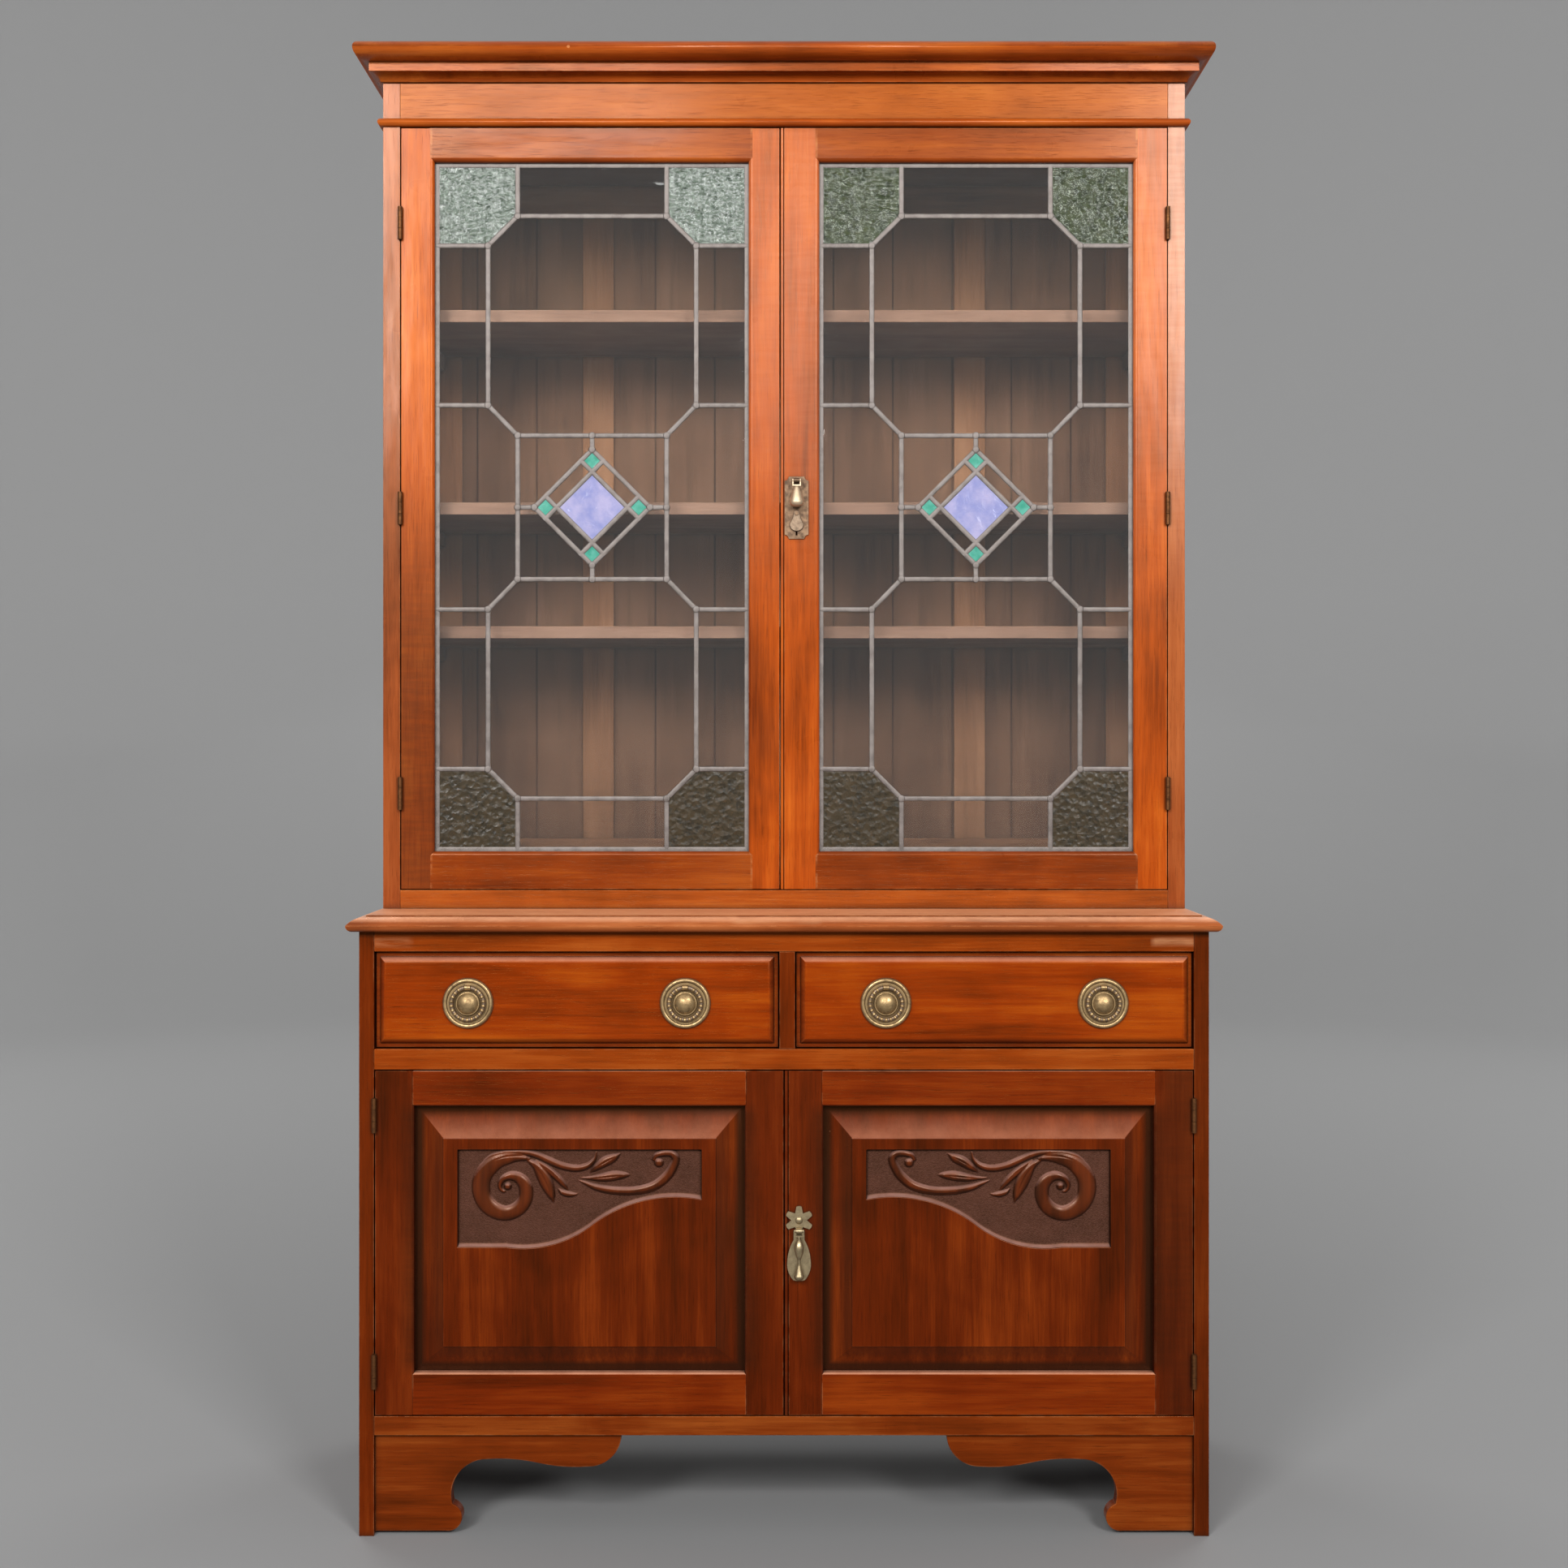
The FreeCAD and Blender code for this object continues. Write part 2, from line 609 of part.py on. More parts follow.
def drawer_runners():
    near = base_front + size.drawer_rail_depth
    far = back - size.back_thickness
    low = drawer_level - size.board_thickness
    middle = size.divider_offset
    half = size.guide_width / 2
    node("drawer_runners", group([
        box(-base_inner, size.runner_width - base_inner, near, far, low, drawer_level),
        box(base_inner - size.runner_width, base_inner, near, far, low, drawer_level),
        box(middle - half - size.runner_width, middle + half + size.runner_width,
            near, far, low, drawer_level),
        box(middle - half, middle + half, near, far, drawer_level, drawer_level + size.guide_height),
    ]))


def base_bottom_board():
    high = cupboard_level + size.door_stop_height
    near = base_front + size.door_thickness + size.door_stop_gap
    node("base_bottom_board", box(-base_inner, base_inner, near, back - size.back_thickness,
                                  high - size.board_thickness, high))


def cupboard_shelf():
    low = size.base_shelf_level
    near = base_front + size.door_thickness + size.base_shelf_setback
    inner = base_inner - size.shelf_play
    node("cupboard_shelf", box(-inner, inner, near, back - size.back_thickness,
                               low, low + size.board_thickness))


def base_back():
    wide = base_inner + size.back_lap
    node("base_back", box(-wide, wide, back - size.back_thickness, back, rail_level, base_top))


def bracket_corners(side):
    """Front outline of a bracket foot, from the base side to its lobe."""
    top = size.plinth_height
    lobe_u = size.bracket_length - size.bracket_lobe
    lobe_v = top - size.bracket_lobe
    hollow_u = size.bracket_foot_width + size.bracket_hollow
    hollow_v = lobe_v + size.bracket_rise
    middle_u = (lobe_u + hollow_u) / 2
    middle_v = (lobe_v + hollow_v) / 2
    drop = math.radians(15)
    cusp_u = hollow_u - size.bracket_hollow * math.cos(drop)
    cusp_v = hollow_v - size.bracket_hollow * (1 + math.sin(drop))
    wave = size.bracket_rise.value / (lobe_u.value - hollow_u.value)
    cusp_bulge = math.tan(math.radians(90 + 15) / 4)
    corners = [
        (0, top),
        (0, size.bracket_toe_lift),
        (size.bracket_toe_width, size.bracket_toe_lift),
        (cusp_u, cusp_v, 0.92),
        (hollow_u, hollow_v, -cusp_bulge),
        (middle_u, middle_v, -wave),
        (lobe_u, lobe_v, wave),
        (size.bracket_length, top, QUARTER),
    ]
    turned = []
    for u, v, *bulge in corners:
        turned.append((side * (base_inner - u), v, *[side * -bend for bend in bulge]))
    return turned


def bracket_feet():
    near = base_front + size.bracket_recess
    node("bracket_feet", group([
        facing("bracket_foot", bracket_corners(side), near, near + size.bracket_thickness)
        for side in (-1, 1)
    ]))


# ------------------------------------------------------------------ upper case

def upper_sides():
    members = []
    for side in (-1, 1):
        panel = side_panel("upper_side", side, case_half, size.case_side_thickness, case_front,
                           worktop_level, top_level, size.back_lap, size.case_back_thickness)
        members.append(cut(panel, hinge_recesses(side, case_inner, case_front, upper_hinge_levels())))
    node("upper_sides", group(members))


def upper_base_rail():
    node("upper_base_rail", box(-case_inner, case_inner, case_front, case_front + size.rail_thickness,
                                worktop_level, case_floor))


def upper_boards():
    far = back - size.case_back_thickness
    near = case_front + size.door_thickness + size.door_stop_gap
    floor = case_floor + size.door_stop_height
    node("upper_boards", group([
        box(-case_inner, case_inner, near, far, worktop_level + size.shelf_play, floor),
        box(-case_inner, case_inner, case_front + size.rail_thickness, far,
            frieze_level, frieze_level + size.board_thickness),
    ]))


def frieze():
    node("frieze", box(-case_inner, case_inner, case_front, case_front + size.rail_thickness,
                       frieze_level, top_level))


def mitred_run(name, low, profile, reach):
    """A moulding along the front and both ends of the case, mitred at the corners.

    The profile's corners give how far the moulding stands out and how high.
    """
    past = reach + 1
    across = [(case_front - corner[0], low + corner[1], *corner[2:]) for corner in profile]
    front_run = crossways(name + "_front", across, -case_half - reach, case_half + reach)
    members = []
    ends = []
    for side in (-1, 1):
        along = [(side * (case_half + corner[0]), low + corner[1], *[-side * bend for bend in corner[2:]])
                 for corner in profile]
        end_run = facing(name + "_end", along, case_front - reach, back)
        ends.append(upright("mitre", [(side * case_half, case_front),
                                      (side * (case_half + past), case_front - past),
                                      (side * (case_half + past), case_front + 1),
                                      (side * case_half, case_front + 1)], low - 1, top_level + 1))
        outer = upright("mitre", [(side * (case_half - 1), case_front),
                                  (side * case_half, case_front),
                                  (side * (case_half + past), case_front - past),
                                  (side * (case_half - 1), case_front - past)], low - 1, top_level + 1)
        members.append(cut(end_run, [outer]))
    return [cut(front_run, ends)] + members


def frieze_bead():
    straight = size.bead_depth - size.bead_height / 2
    profile = [
        (0, 0),
        (straight, 0),
        (size.bead_depth, size.bead_height / 2, QUARTER),
        (straight, size.bead_height, QUARTER),
        (0, size.bead_height),
    ]
    node("frieze_bead", group(mitred_run("bead", frieze_level, profile_from_face(profile), size.bead_depth)))


def profile_from_face(profile):
    """Turn the arcs over, because what stands out of the face points to -Y."""
    return [(corner[0], corner[1], *[-bend for bend in corner[2:]]) for corner in profile]


def cornice():
    height = (size.cornice_cavetto_height + size.cornice_fillet_height
              + size.cornice_ovolo_height + size.cornice_nose_height)
    flat_low = size.cornice_cavetto_height
    flat_high = flat_low + size.cornice_fillet_height
    round_high = flat_high + size.cornice_ovolo_height
    nose = math.tan(math.atan2(size.cornice_nose_width.value, size.cornice_nose_height.value) / 2)
    profile = [
        (0, 0),
        (size.cornice_cavetto_depth / 3, 0),
        (size.cornice_fillet_depth - 2, flat_low, -QUARTER),
        (size.cornice_fillet_depth, flat_low),
        (size.cornice_fillet_depth, flat_high),
        (size.cornice_ovolo_start, flat_high),
        (size.cornice_depth, round_high, QUARTER),
        (size.cornice_depth - size.cornice_nose_width, height, nose),
        (0, height),
    ]
    node("cornice", group(mitred_run("cornice", top_level - height, profile_from_face(profile),
                                     size.cornice_depth)))


def back_panel_boxes():
    """The three panels of the framed back, with their tongues."""
    tongue = size.case_panel_tongue
    half_stile = size.back_stile_width / 2
    wide = case_inner + size.back_lap
    low = worktop_level + size.back_bottom_rail_height - tongue
    high = top_level - size.back_top_rail_height + tongue
    near = back - size.case_back_thickness + (size.case_back_thickness - size.case_panel_thickness) / 2
    far = near + size.case_panel_thickness
    edge = wide - size.back_stile_width + tongue
    muntin = case_inner - size.back_muntin_inset
    inner = muntin - half_stile + tongue
    outer = muntin + half_stile - tongue
    return [
        box(-edge, -outer, near, far, low, high),
        box(-inner, inner, near, far, low, high),
        box(outer, edge, near, far, low, high),
    ]


def upper_back(panels):
    """The grooved frame of the back."""
    near = back - size.case_back_thickness
    wide = case_inner + size.back_lap
    inner = wide - size.back_stile_width
    half = size.back_stile_width / 2
    low = worktop_level + size.back_bottom_rail_height
    high = top_level - size.back_top_rail_height
    members = [
        box(-wide, -inner, near, back, worktop_level, top_level),
        box(inner, wide, near, back, worktop_level, top_level),
        box(-inner, inner, near, back, worktop_level, low),
        box(-inner, inner, near, back, high, top_level),
    ]
    for side in (-1, 1):
        middle = side * (case_inner - size.back_muntin_inset)
        members.append(box(middle - half, middle + half, near, back, low, high))
    node("upper_back_frame", group([cut(member, [group(panels)]) for member in members]))
    node("upper_back_panels", group(panels))


def shelf_tops():
    levels = (size.shelf_level_low, size.shelf_level_middle, size.shelf_level_high)
    return [case_floor + level for level in levels]


def bookshelves():
    near = case_front + size.door_thickness + size.shelf_setback
    far = back - size.case_back_thickness
    inner = case_inner - size.shelf_play
    node("bookshelves", group([
        box(-inner, inner, near, far, top - size.board_thickness, top) for top in shelf_tops()
    ]))


def bookshelf_cleats():
    near = case_front + size.door_thickness + size.shelf_setback
    far = back - size.case_back_thickness
    members = []
    for top in shelf_tops():
        members += cleat_pair(case_inner, near, far, top - size.board_thickness)
    node("bookshelf_cleats", group(members))


def cupboard_cleats():
    near = base_front + size.door_thickness + size.base_shelf_setback
    far = back - size.back_thickness
    node("cupboard_cleats", group(cleat_pair(base_inner, near, far, size.base_shelf_level)))


def cleat_pair(inner, near, far, under):
    low = under - size.cleat_height
    edge = inner - size.cleat_thickness
    return [box(-inner, -edge, near, far, low, under), box(edge, inner, near, far, low, under)]


# --------------------------------------------------------------------- hinges

def hinge_axis(side, joint):
    """Middle of the gap between a door and the carcass side."""
    return side * (joint - size.door_gap / 2)


def hinge_pair(side, joint, face, middle):
    """One butt hinge: the leaf that is fixed to the carcass, with the pin, and the door's leaf."""
    pin_x = hinge_axis(side, joint)
    pin_y = face - size.hinge_pin_offset
    low = middle - size.hinge_height / 2
    third = size.hinge_height / 3
    knuckle = third - size.hinge_play
    leaf_far = face + size.hinge_leaf_depth
    out = side * size.hinge_leaf_recess
    thick = side * size.hinge_leaf_thickness
    wall = side * joint
    door = wall - side * size.door_gap

    def span(a, b, *rest):
        return box(*((a, b) if a.value < b.value else (b, a)), *rest)

    high = middle + size.hinge_height / 2
    fixed = [
        span(wall + out, wall + out - thick, face, leaf_far, low, high),
        cylinder(size.hinge_pin_radius, size.hinge_height, pin_x, pin_y, low),
    ]
    for start in (low, high - knuckle):
        fixed.append(cylinder(size.hinge_knuckle_radius, knuckle, pin_x, pin_y, start))
        fixed.append(span(wall + out, wall + out - thick, pin_y, face, start, start + knuckle))
    start = low + third
    moving = [
        span(door - out, door - out + thick, face, leaf_far, low, high),
        cylinder(size.hinge_knuckle_radius, third, pin_x, pin_y, start),
        span(door - out, door - out + thick, pin_y, face, start, start + third),
    ]
    bore = cylinder(size.hinge_pin_radius + size.hinge_bore_clearance, third + 2, pin_x, pin_y, start - 1)
    return fuse(fixed), cut(fuse(moving), [bore])


def hinges():
    """All hinges; the door leaves are named after their door."""
    fixed = []
    for height, joint, face, levels in (("upper", case_inner, case_front, upper_hinge_levels()),
                                        ("lower", base_inner, base_front, lower_hinge_levels())):
        for side, word in ((-1, "left"), (1, "right")):
            pairs = [hinge_pair(side, joint, face, middle) for middle in levels]
            fixed += [pair[0] for pair in pairs]
            node("{}_door_{}_hinge_leaves".format(height, word), group([pair[1] for pair in pairs]))
    node("fixed_hinge_leaves", group(fixed))


# ---------------------------------------------------------------- upper doors

def upper_door_edges(word):
    """Left and right edge of an upper door and of its glass opening."""
    half_gap = size.door_gap / 2
    outer = case_inner - size.door_gap
    glass = outer - size.upper_stile_width
    if word == "left":
        return -outer, -size.upper_meeting_offset - half_gap, -glass, -size.upper_sight_start
    return half_gap - size.upper_meeting_offset, outer, size.upper_sight_start, glass


def upper_door_levels():
    """Bottom and top of an upper door and of its glass opening."""
    low = case_floor + size.door_gap
    high = frieze_level - size.door_gap
    return low, high, low + size.upper_bottom_rail_width, high - size.upper_top_rail_width


def bead_corners(edge, face):
    """Front corner of a right door's meeting stile: a bead and the quirk beside it."""
    bead = size.edge_bead_width
    quirk = size.edge_bead_quirk
    return [
        (edge, face + bead / 2),
        (edge + bead / 2, face, QUARTER),
        (edge + bead, face + bead / 2, QUARTER),
        (edge + bead, face + bead / 2 + quirk),
        (edge + bead + quirk, face + bead / 2 + quirk),
        (edge + bead + quirk, face),
    ]


def sash_stick(outer, glass, inward, bead=False):
    """Plan outline of a glazed stile; inward is +1 when the glass is to its right."""
    face = case_front
    rear = face + size.door_thickness
    start = bead_corners(outer, face) if bead else [(outer, face)]
    return start + [
        (glass - inward * size.sash_ovolo, face),
        (glass, face + size.sash_ovolo, QUARTER * inward),
        (glass, face + size.sash_lip),
        (glass - inward * size.sash_rebate, face + size.sash_lip),
        (glass - inward * size.sash_rebate, rear),
        (outer, rear),
    ]


def tenons(left, right, low, high, near, edge):
    """Tenons at both ends of a rail; edge is how far the stiles' edges lie outside the opening."""
    reach = size.tenon_length
    root = edge - 1
    z0 = low + size.tenon_inset
    z1 = high - size.tenon_inset
    far = near + size.tenon_thickness
    return [box(left - reach, left - root, near, far, z0, z1),
            box(right + root, right + reach, near, far, z0, z1)]


def framed_door(name, sticks, rails, joints, recesses):
    """Stiles and rails of one door; each rail is scribed over the stiles and tenoned into them."""
    stile_cuts = [tenon for pair in joints for tenon in pair] + recesses
    node(name + "_stiles", group([cut(stick, stile_cuts) for stick in sticks]))
    node(name + "_rails", group([fuse([cut(rail, sticks)] + pair) for rail, pair in zip(rails, joints)]))


def upper_door(word):
    name = "upper_door_" + word
    side = -1 if word == "left" else 1
    left, right, glass_left, glass_right = upper_door_edges(word)
    low, high, glass_low, glass_high = upper_door_levels()
    face = case_front
    rear = face + size.door_thickness
    lip = face + size.sash_lip
    sticks = [
        upright("stile", sash_stick(left, glass_left, 1, side > 0), low, high),
        upright("stile", sash_stick(right, glass_right, -1), low, high),
    ]
    reach = size.sash_rebate + 1
    low_corners = [
        (face, low),
        (rear, low),
        (rear, glass_low - size.sash_rebate),
        (lip, glass_low - size.sash_rebate),
        (lip, glass_low),
        (face + size.sash_ovolo, glass_low),
        (face, glass_low - size.sash_ovolo, QUARTER),
    ]
    high_corners = [
        (face, high),
        (face, glass_high + size.sash_ovolo),
        (face + size.sash_ovolo, glass_high, QUARTER),
        (lip, glass_high),
        (lip, glass_high + size.sash_rebate),
        (rear, glass_high + size.sash_rebate),
        (rear, high),
    ]
    rails = [crossways("rail", corners, glass_left - reach, glass_right + reach)
             for corners in (low_corners, high_corners)]
    tenon_near = lip + 2
    edge = size.sash_rebate
    joints = [tenons(glass_left, glass_right, low, glass_low - edge, tenon_near, edge),
              tenons(glass_left, glass_right, glass_high + edge, high, tenon_near, edge)]
    recesses = hinge_recesses(side, case_inner, case_front, upper_hinge_levels())
    if side > 0:
        recesses = recesses + keyhole_recess()
    framed_door(name, sticks, rails, joints, recesses)
    glazing_beads(name, glass_left, glass_right, glass_low, glass_high)
    leaded_light(name, glass_left, glass_right, glass_low, glass_high)


def glazing_beads(name, left, right, low, high):
    """Four strips that hold the leaded light in its rebate."""
    near = case_front + size.sash_lip + size.lead_thickness
    far = case_front + size.door_thickness
    wide = size.sash_rebate
    node(name + "_glazing_beads", group([
        box(left - wide, left, near, far, low - wide, high + wide),
        box(right, right + wide, near, far, low - wide, high + wide),
        box(left, right, near, far, low - wide, low),
        box(left, right, near, far, high, high + wide),
    ]))


def lead_lines(half_width, half_height):
    """Middle lines of the leads, from the middle of the glass opening."""
    side_u = half_width - size.lead_side_offset.value
    corner_u = half_width - size.lead_corner_offset.value
    top_v = half_height - size.lead_side_offset.value
    corner_v = half_height - size.lead_corner_offset.value
    foot_v = half_height - size.lead_octagon_depth.value
    middle_v = half_height - size.lead_middle_offset.value
    lines = []
    for up in (-1, 1):
        lines.append((-corner_u, up * top_v, corner_u, up * top_v))
        lines.append((-corner_u, up * middle_v, corner_u, up * middle_v))
        for across in (-1, 1):
            side = across * side_u
            corner = across * corner_u
            edge = across * half_width
            lines += [
                (corner, up * half_height, corner, up * top_v),
                (corner, up * top_v, side, up * corner_v),
                (edge, up * corner_v, side, up * corner_v),
                (side, up * corner_v, side, up * foot_v),
                (edge, up * foot_v, side, up * foot_v),
                (side, up * foot_v, corner, up * middle_v),
            ]
    for across in (-1, 1):
        lines.append((across * corner_u, -middle_v, across * corner_u, middle_v))
    return lines + diamond_lines(corner_u, middle_v)


def diamond_lines(reach_u, reach_v):
    """Two diamonds, one inside the other, and the leads that hold them."""
    inner = size.lead_inner_diamond.value
    outer = size.lead_outer_diamond.value
    tip = outer * math.sqrt(2)
    lines = []
    for way in (-1, 1):
        lines.append((way * tip, 0, way * reach_u, 0))
        lines.append((0, way * tip, 0, way * reach_v))
        for away in (inner, outer):
            offset = way * away
            lines.append(turned_line(offset, -outer, offset, outer))
            lines.append(turned_line(-outer, offset, outer, offset))
    return lines


def turned_line(p0, q0, p1, q1):
    """A line given along the sides of a diamond, in the glass's own directions."""
    slant = math.sqrt(0.5)
    return ((p0 - q0) * slant, (p0 + q0) * slant, (p1 - q1) * slant, (p1 + q1) * slant)


def strip(line, width, thickness):
    """A flat bar along a line (x, z), as long as the line and its half width at each end."""
    u0, v0, u1, v1 = line
    length = math.hypot(u1 - u0, v1 - v0) + width
    bar = Part.makeBox(length, thickness, width, FreeCAD.Vector(-width / 2, -thickness / 2, -width / 2))
    slope = math.degrees(math.atan2(v1 - v0, u1 - u0))
    bar.Placement = FreeCAD.Placement(FreeCAD.Vector(u0, 0, v0),
                                      FreeCAD.Rotation(FreeCAD.Vector(0, -1, 0), slope))
    return bar


def plate(half_width, half_height, thickness):
    corner = FreeCAD.Vector(-half_width, -thickness / 2, -half_height)
    return Part.makeBox(2 * half_width, thickness, 2 * half_height, corner)


def leaded_light(name, left, right, low, high):
    """The leads of one door and the panes that lie in them."""
    half_width = (right.value - left.value) / 2
    half_height = (high.value - low.value) / 2
    heart = size.lead_heart.value
    thick = size.lead_thickness.value
    glass = size.glass_thickness.value
    lines = lead_lines(half_width, half_height)
    panes = plate(half_width - heart / 2, half_height - heart / 2, glass)
    panes = panes.cut([strip(line, heart, thick + 1) for line in lines]).Solids
    lap = size.lead_lap.value
    show = size.lead_border.value
    border = plate(half_width + lap, half_height + lap, thick)
    border = border.cut(plate(half_width - show, half_height - show, thick + 1))
    leads = border.fuse([strip(line, size.lead_width.value, thick) for line in lines])
    within = plate(half_width + lap, half_height + lap, thick)
    leads = leads.common(within).removeSplitter().cut(panes)
    sorted_panes = sort_panes(panes, half_width, half_height)
    middle = FreeCAD.Vector((left.value + right.value) / 2,
                            case_front.value + size.sash_lip.value + thick / 2,
                            (low.value + high.value) / 2)
    pieces = [("leads", [leads])] + list(sorted_panes.items())
    for word, solids in pieces:
        feature = doc.addObject("Part::Feature", "leaded_" + word)
        feature.Shape = solids[0] if len(solids) == 1 else Part.makeCompound(solids)
        feature.Placement = FreeCAD.Placement(middle, FreeCAD.Rotation())
        node(name + "_" + word, feature)


def sort_panes(panes, half_width, half_height):
    """Panes by their glass: green in the corners, jewels in the diamond, clear elsewhere."""
    corner_u = half_width - size.lead_corner_offset.value
    corner_v = half_height - size.lead_corner_offset.value
    diamond = size.lead_outer_diamond.value * math.sqrt(2)
    inner = size.lead_inner_diamond.value
    kinds = {"clear_panes": [], "green_panes": [], "jewels": []}
    for pane in panes:
        middle = pane.CenterOfMass
        across = abs(middle.x)
        up = abs(middle.z)
        along = abs(across - up) / math.sqrt(2)
        over = (across + up) / math.sqrt(2)
        if across > corner_u and up > corner_v:
            kinds["green_panes"].append(pane)
        elif across + up < diamond and (min(across, up) < 1 and (over > inner or across + up < 1)):
            kinds["jewels"].append(pane)
        else:
            kinds["clear_panes"].append(pane)
    return kinds


# ---------------------------------------------------------------- lower doors

def lower_door(word):
    name = "lower_door_" + word
    side = -1 if word == "left" else 1
    outer = base_inner - size.door_gap
    meeting = size.door_gap / 2
    left, right = (-outer, -meeting) if side < 0 else (meeting, outer)
    low = cupboard_level + size.door_gap
    high = mid_rail_level - size.door_gap
    sight_left = left + size.lower_stile_width
    sight_right = right - size.lower_stile_width
    sight_low = low + size.lower_bottom_rail_width
    sight_high = high - size.lower_top_rail_width
    face = base_front
    rear = face + size.door_thickness
    groove_near = rear - size.panel_back_inset - size.panel_edge
    groove_far = rear - size.panel_back_inset
    chamfer = size.frame_chamfer
    depth = size.panel_groove

    def stick(edge, sight, inward, bead=False):
        return (bead_corners(edge, face) if bead else [(edge, face)]) + [
            (sight - inward * chamfer, face),
            (sight, face + chamfer),
            (sight, groove_near),
            (sight - inward * depth, groove_near),
            (sight - inward * depth, groove_far),
            (sight, groove_far),
            (sight, rear),
            (edge, rear),
        ]

    def rail_end(edge, sight, inward):
        return [
            (face, edge),
            (face, sight - inward * chamfer),
            (face + chamfer, sight),
            (groove_near, sight),
            (groove_near, sight - inward * depth),
            (groove_far, sight - inward * depth),
            (groove_far, sight),
            (rear, sight),
            (rear, edge),
        ]

    sticks = [upright("stile", stick(left, sight_left, 1, side > 0), low, high),
              upright("stile", stick(right, sight_right, -1), low, high)]
    reach = size.sash_rebate + 1
    rails = [crossways("rail", rail_end(low, sight_low, 1), sight_left - reach, sight_right + reach),
             crossways("rail", rail_end(high, sight_high, -1), sight_left - reach, sight_right + reach)]
    joints = [tenons(sight_left, sight_right, low, sight_low - depth, groove_near, depth),
              tenons(sight_left, sight_right, sight_high + depth, high, groove_near, depth)]
    framed_door(name, sticks, rails, joints,
                hinge_recesses(side, base_inner, base_front, lower_hinge_levels()))
    fielded_panel(name + "_panel", side, sight_left, sight_right, sight_low, sight_high,
                  groove_near, groove_far)


def fielded_panel(name, side, left, right, low, high, near, far):
    """A panel with a bevel to a raised field and a recess for carving; its edges lie in the frame."""
    body = new_body(name)
    play = size.panel_play
    tongue = size.panel_groove - play
    sketch = outline(new_sketch(body, "XZ_Plane"), [
        (left - tongue, low - tongue), (right + tongue, low - tongue),
        (right + tongue, high + tongue), (left - tongue, high + tongue)])
    pad(body, sketch, far - near, backwards=True)
    place(body, y=near)
    field = base_front + size.panel_field_depth
    bevel = size.panel_bevel_width
    root = near - (field + size.panel_field_step)
    loft = body.newObject("PartDesign::AdditiveLoft", "bevel")
    edges = rectangle(left + bevel, right - bevel, low + bevel - size.panel_field_drop,
                      high - bevel - size.panel_field_drop)
    margin = size.panel_margin
    root_edges = rectangle(left + margin, right - margin, low + margin, high - margin)
    foot = outline(new_sketch(body, "XZ_Plane"), root_edges)
    head = outline(new_sketch(body, "XZ_Plane"), edges)
    bind(head, ".AttachmentOffset.Base.z", root)
    loft.Profile = foot
    loft.Sections = [head]
    loft.Ruled = True
    raised = outline(new_sketch(body, "XZ_Plane"), edges)
    pad(body, raised, near - field)
    carve_recess(body, side, left + bevel, right - bevel, high - bevel - size.panel_field_drop, near - field)
    node(name, body)


def rectangle(left, right, low, high):
    return [(left, low), (right, low), (right, high), (left, high)]


def carve_recess(body, side, left, right, top, height):
    """The sunk ground of the carving, deep at the hanging side and low towards the middle."""
    margin = (right - left - size.recess_length) / 2
    start = (left + margin) if side < 0 else (right - margin)
    high = top - size.recess_top_margin
    deep = high - size.recess_drop_outer
    shallow = high - size.recess_drop_inner
    flat = size.recess_flat
    rest = size.recess_length - flat
    turn_u = flat + rest * 0.45
    turn_v = (deep + shallow) / 2
    bend = 0.21
    corners = [
        (0, high),
        (0, deep),
        (flat, deep),
        (turn_u, turn_v, bend),
        (size.recess_length, shallow, -bend),
        (size.recess_length, high),
    ]
    placed = [(start - side * u, v, *[-side * value for value in turn]) for u, v, *turn in corners]
    sketch = outline(new_sketch(body, "XZ_Plane"), placed)
    bind(sketch, ".AttachmentOffset.Base.z", height)
    return pocket(body, sketch, size.recess_depth)


# -------------------------------------------------------------------- drawers

def drawer_span(word):
    """Left and right edge of a drawer's opening."""
    half = size.divider_width / 2
    if word == "left":
        return -base_inner, size.divider_offset - half
    return size.divider_offset + half, base_inner


def drawer_box_span(word):
    """Left and right edge of the drawer's box, between the side and the guide."""
    left, right = drawer_span(word)
    return left + size.door_gap, right - size.door_gap


def dovetails(left, right, near, low, high):
    """The tails of one drawer side, wider at the end that lies in the drawer front."""
    count = int(size.dovetail_count.value)
    pitch = (high - low) / count
    tip = near - size.dovetail_length
    wide = size.dovetail_width / 2
    root = wide - size.dovetail_slope
    tails = []
    for number in range(count):
        middle = low + pitch * (number + 0.5)
        tails.append(crossways("tail", [(tip, middle - wide), (near, middle - root),
                                        (near, middle + root), (tip, middle + wide)], left, right))
    return tails


def drawer_tails(word):
    """The tails of a drawer's two sides."""
    left, right = drawer_box_span(word)
    wall = size.drawer_side_thickness
    near = base_front + size.door_thickness
    low = drawer_level + size.drawer_lift
    high = low + size.drawer_side_height
    return [dovetails(left, left + wall, near, low, high), dovetails(right - wall, right, near, low, high)]


def moulded_edge(edge, inward):
    """Section of a drawer front's moulded edge, from its rear to its field: (across, depth)."""
    step = edge + inward * size.front_step_width
    rear = base_front + size.door_thickness
    foot = base_front + size.front_round_depth
    bend = math.tan(math.atan2(size.front_round_depth.value, size.front_round_width.value) / 2)
    return [
        (edge, rear),
        (edge, base_front + size.front_step_depth),
        (step, base_front + size.front_step_depth),
        (step, foot),
        (step + inward * size.front_round_width, base_front, bend),
    ]


def reversed_run(corners):
    """The same outline drawn the other way round; an arc's bend stays with its span."""
    points = [corner[:2] for corner in reversed(corners)]
    bends = [corner[2:] for corner in reversed(corners)]
    return [points[0]] + [(*point, *bend) for point, bend in zip(points[1:], bends)]


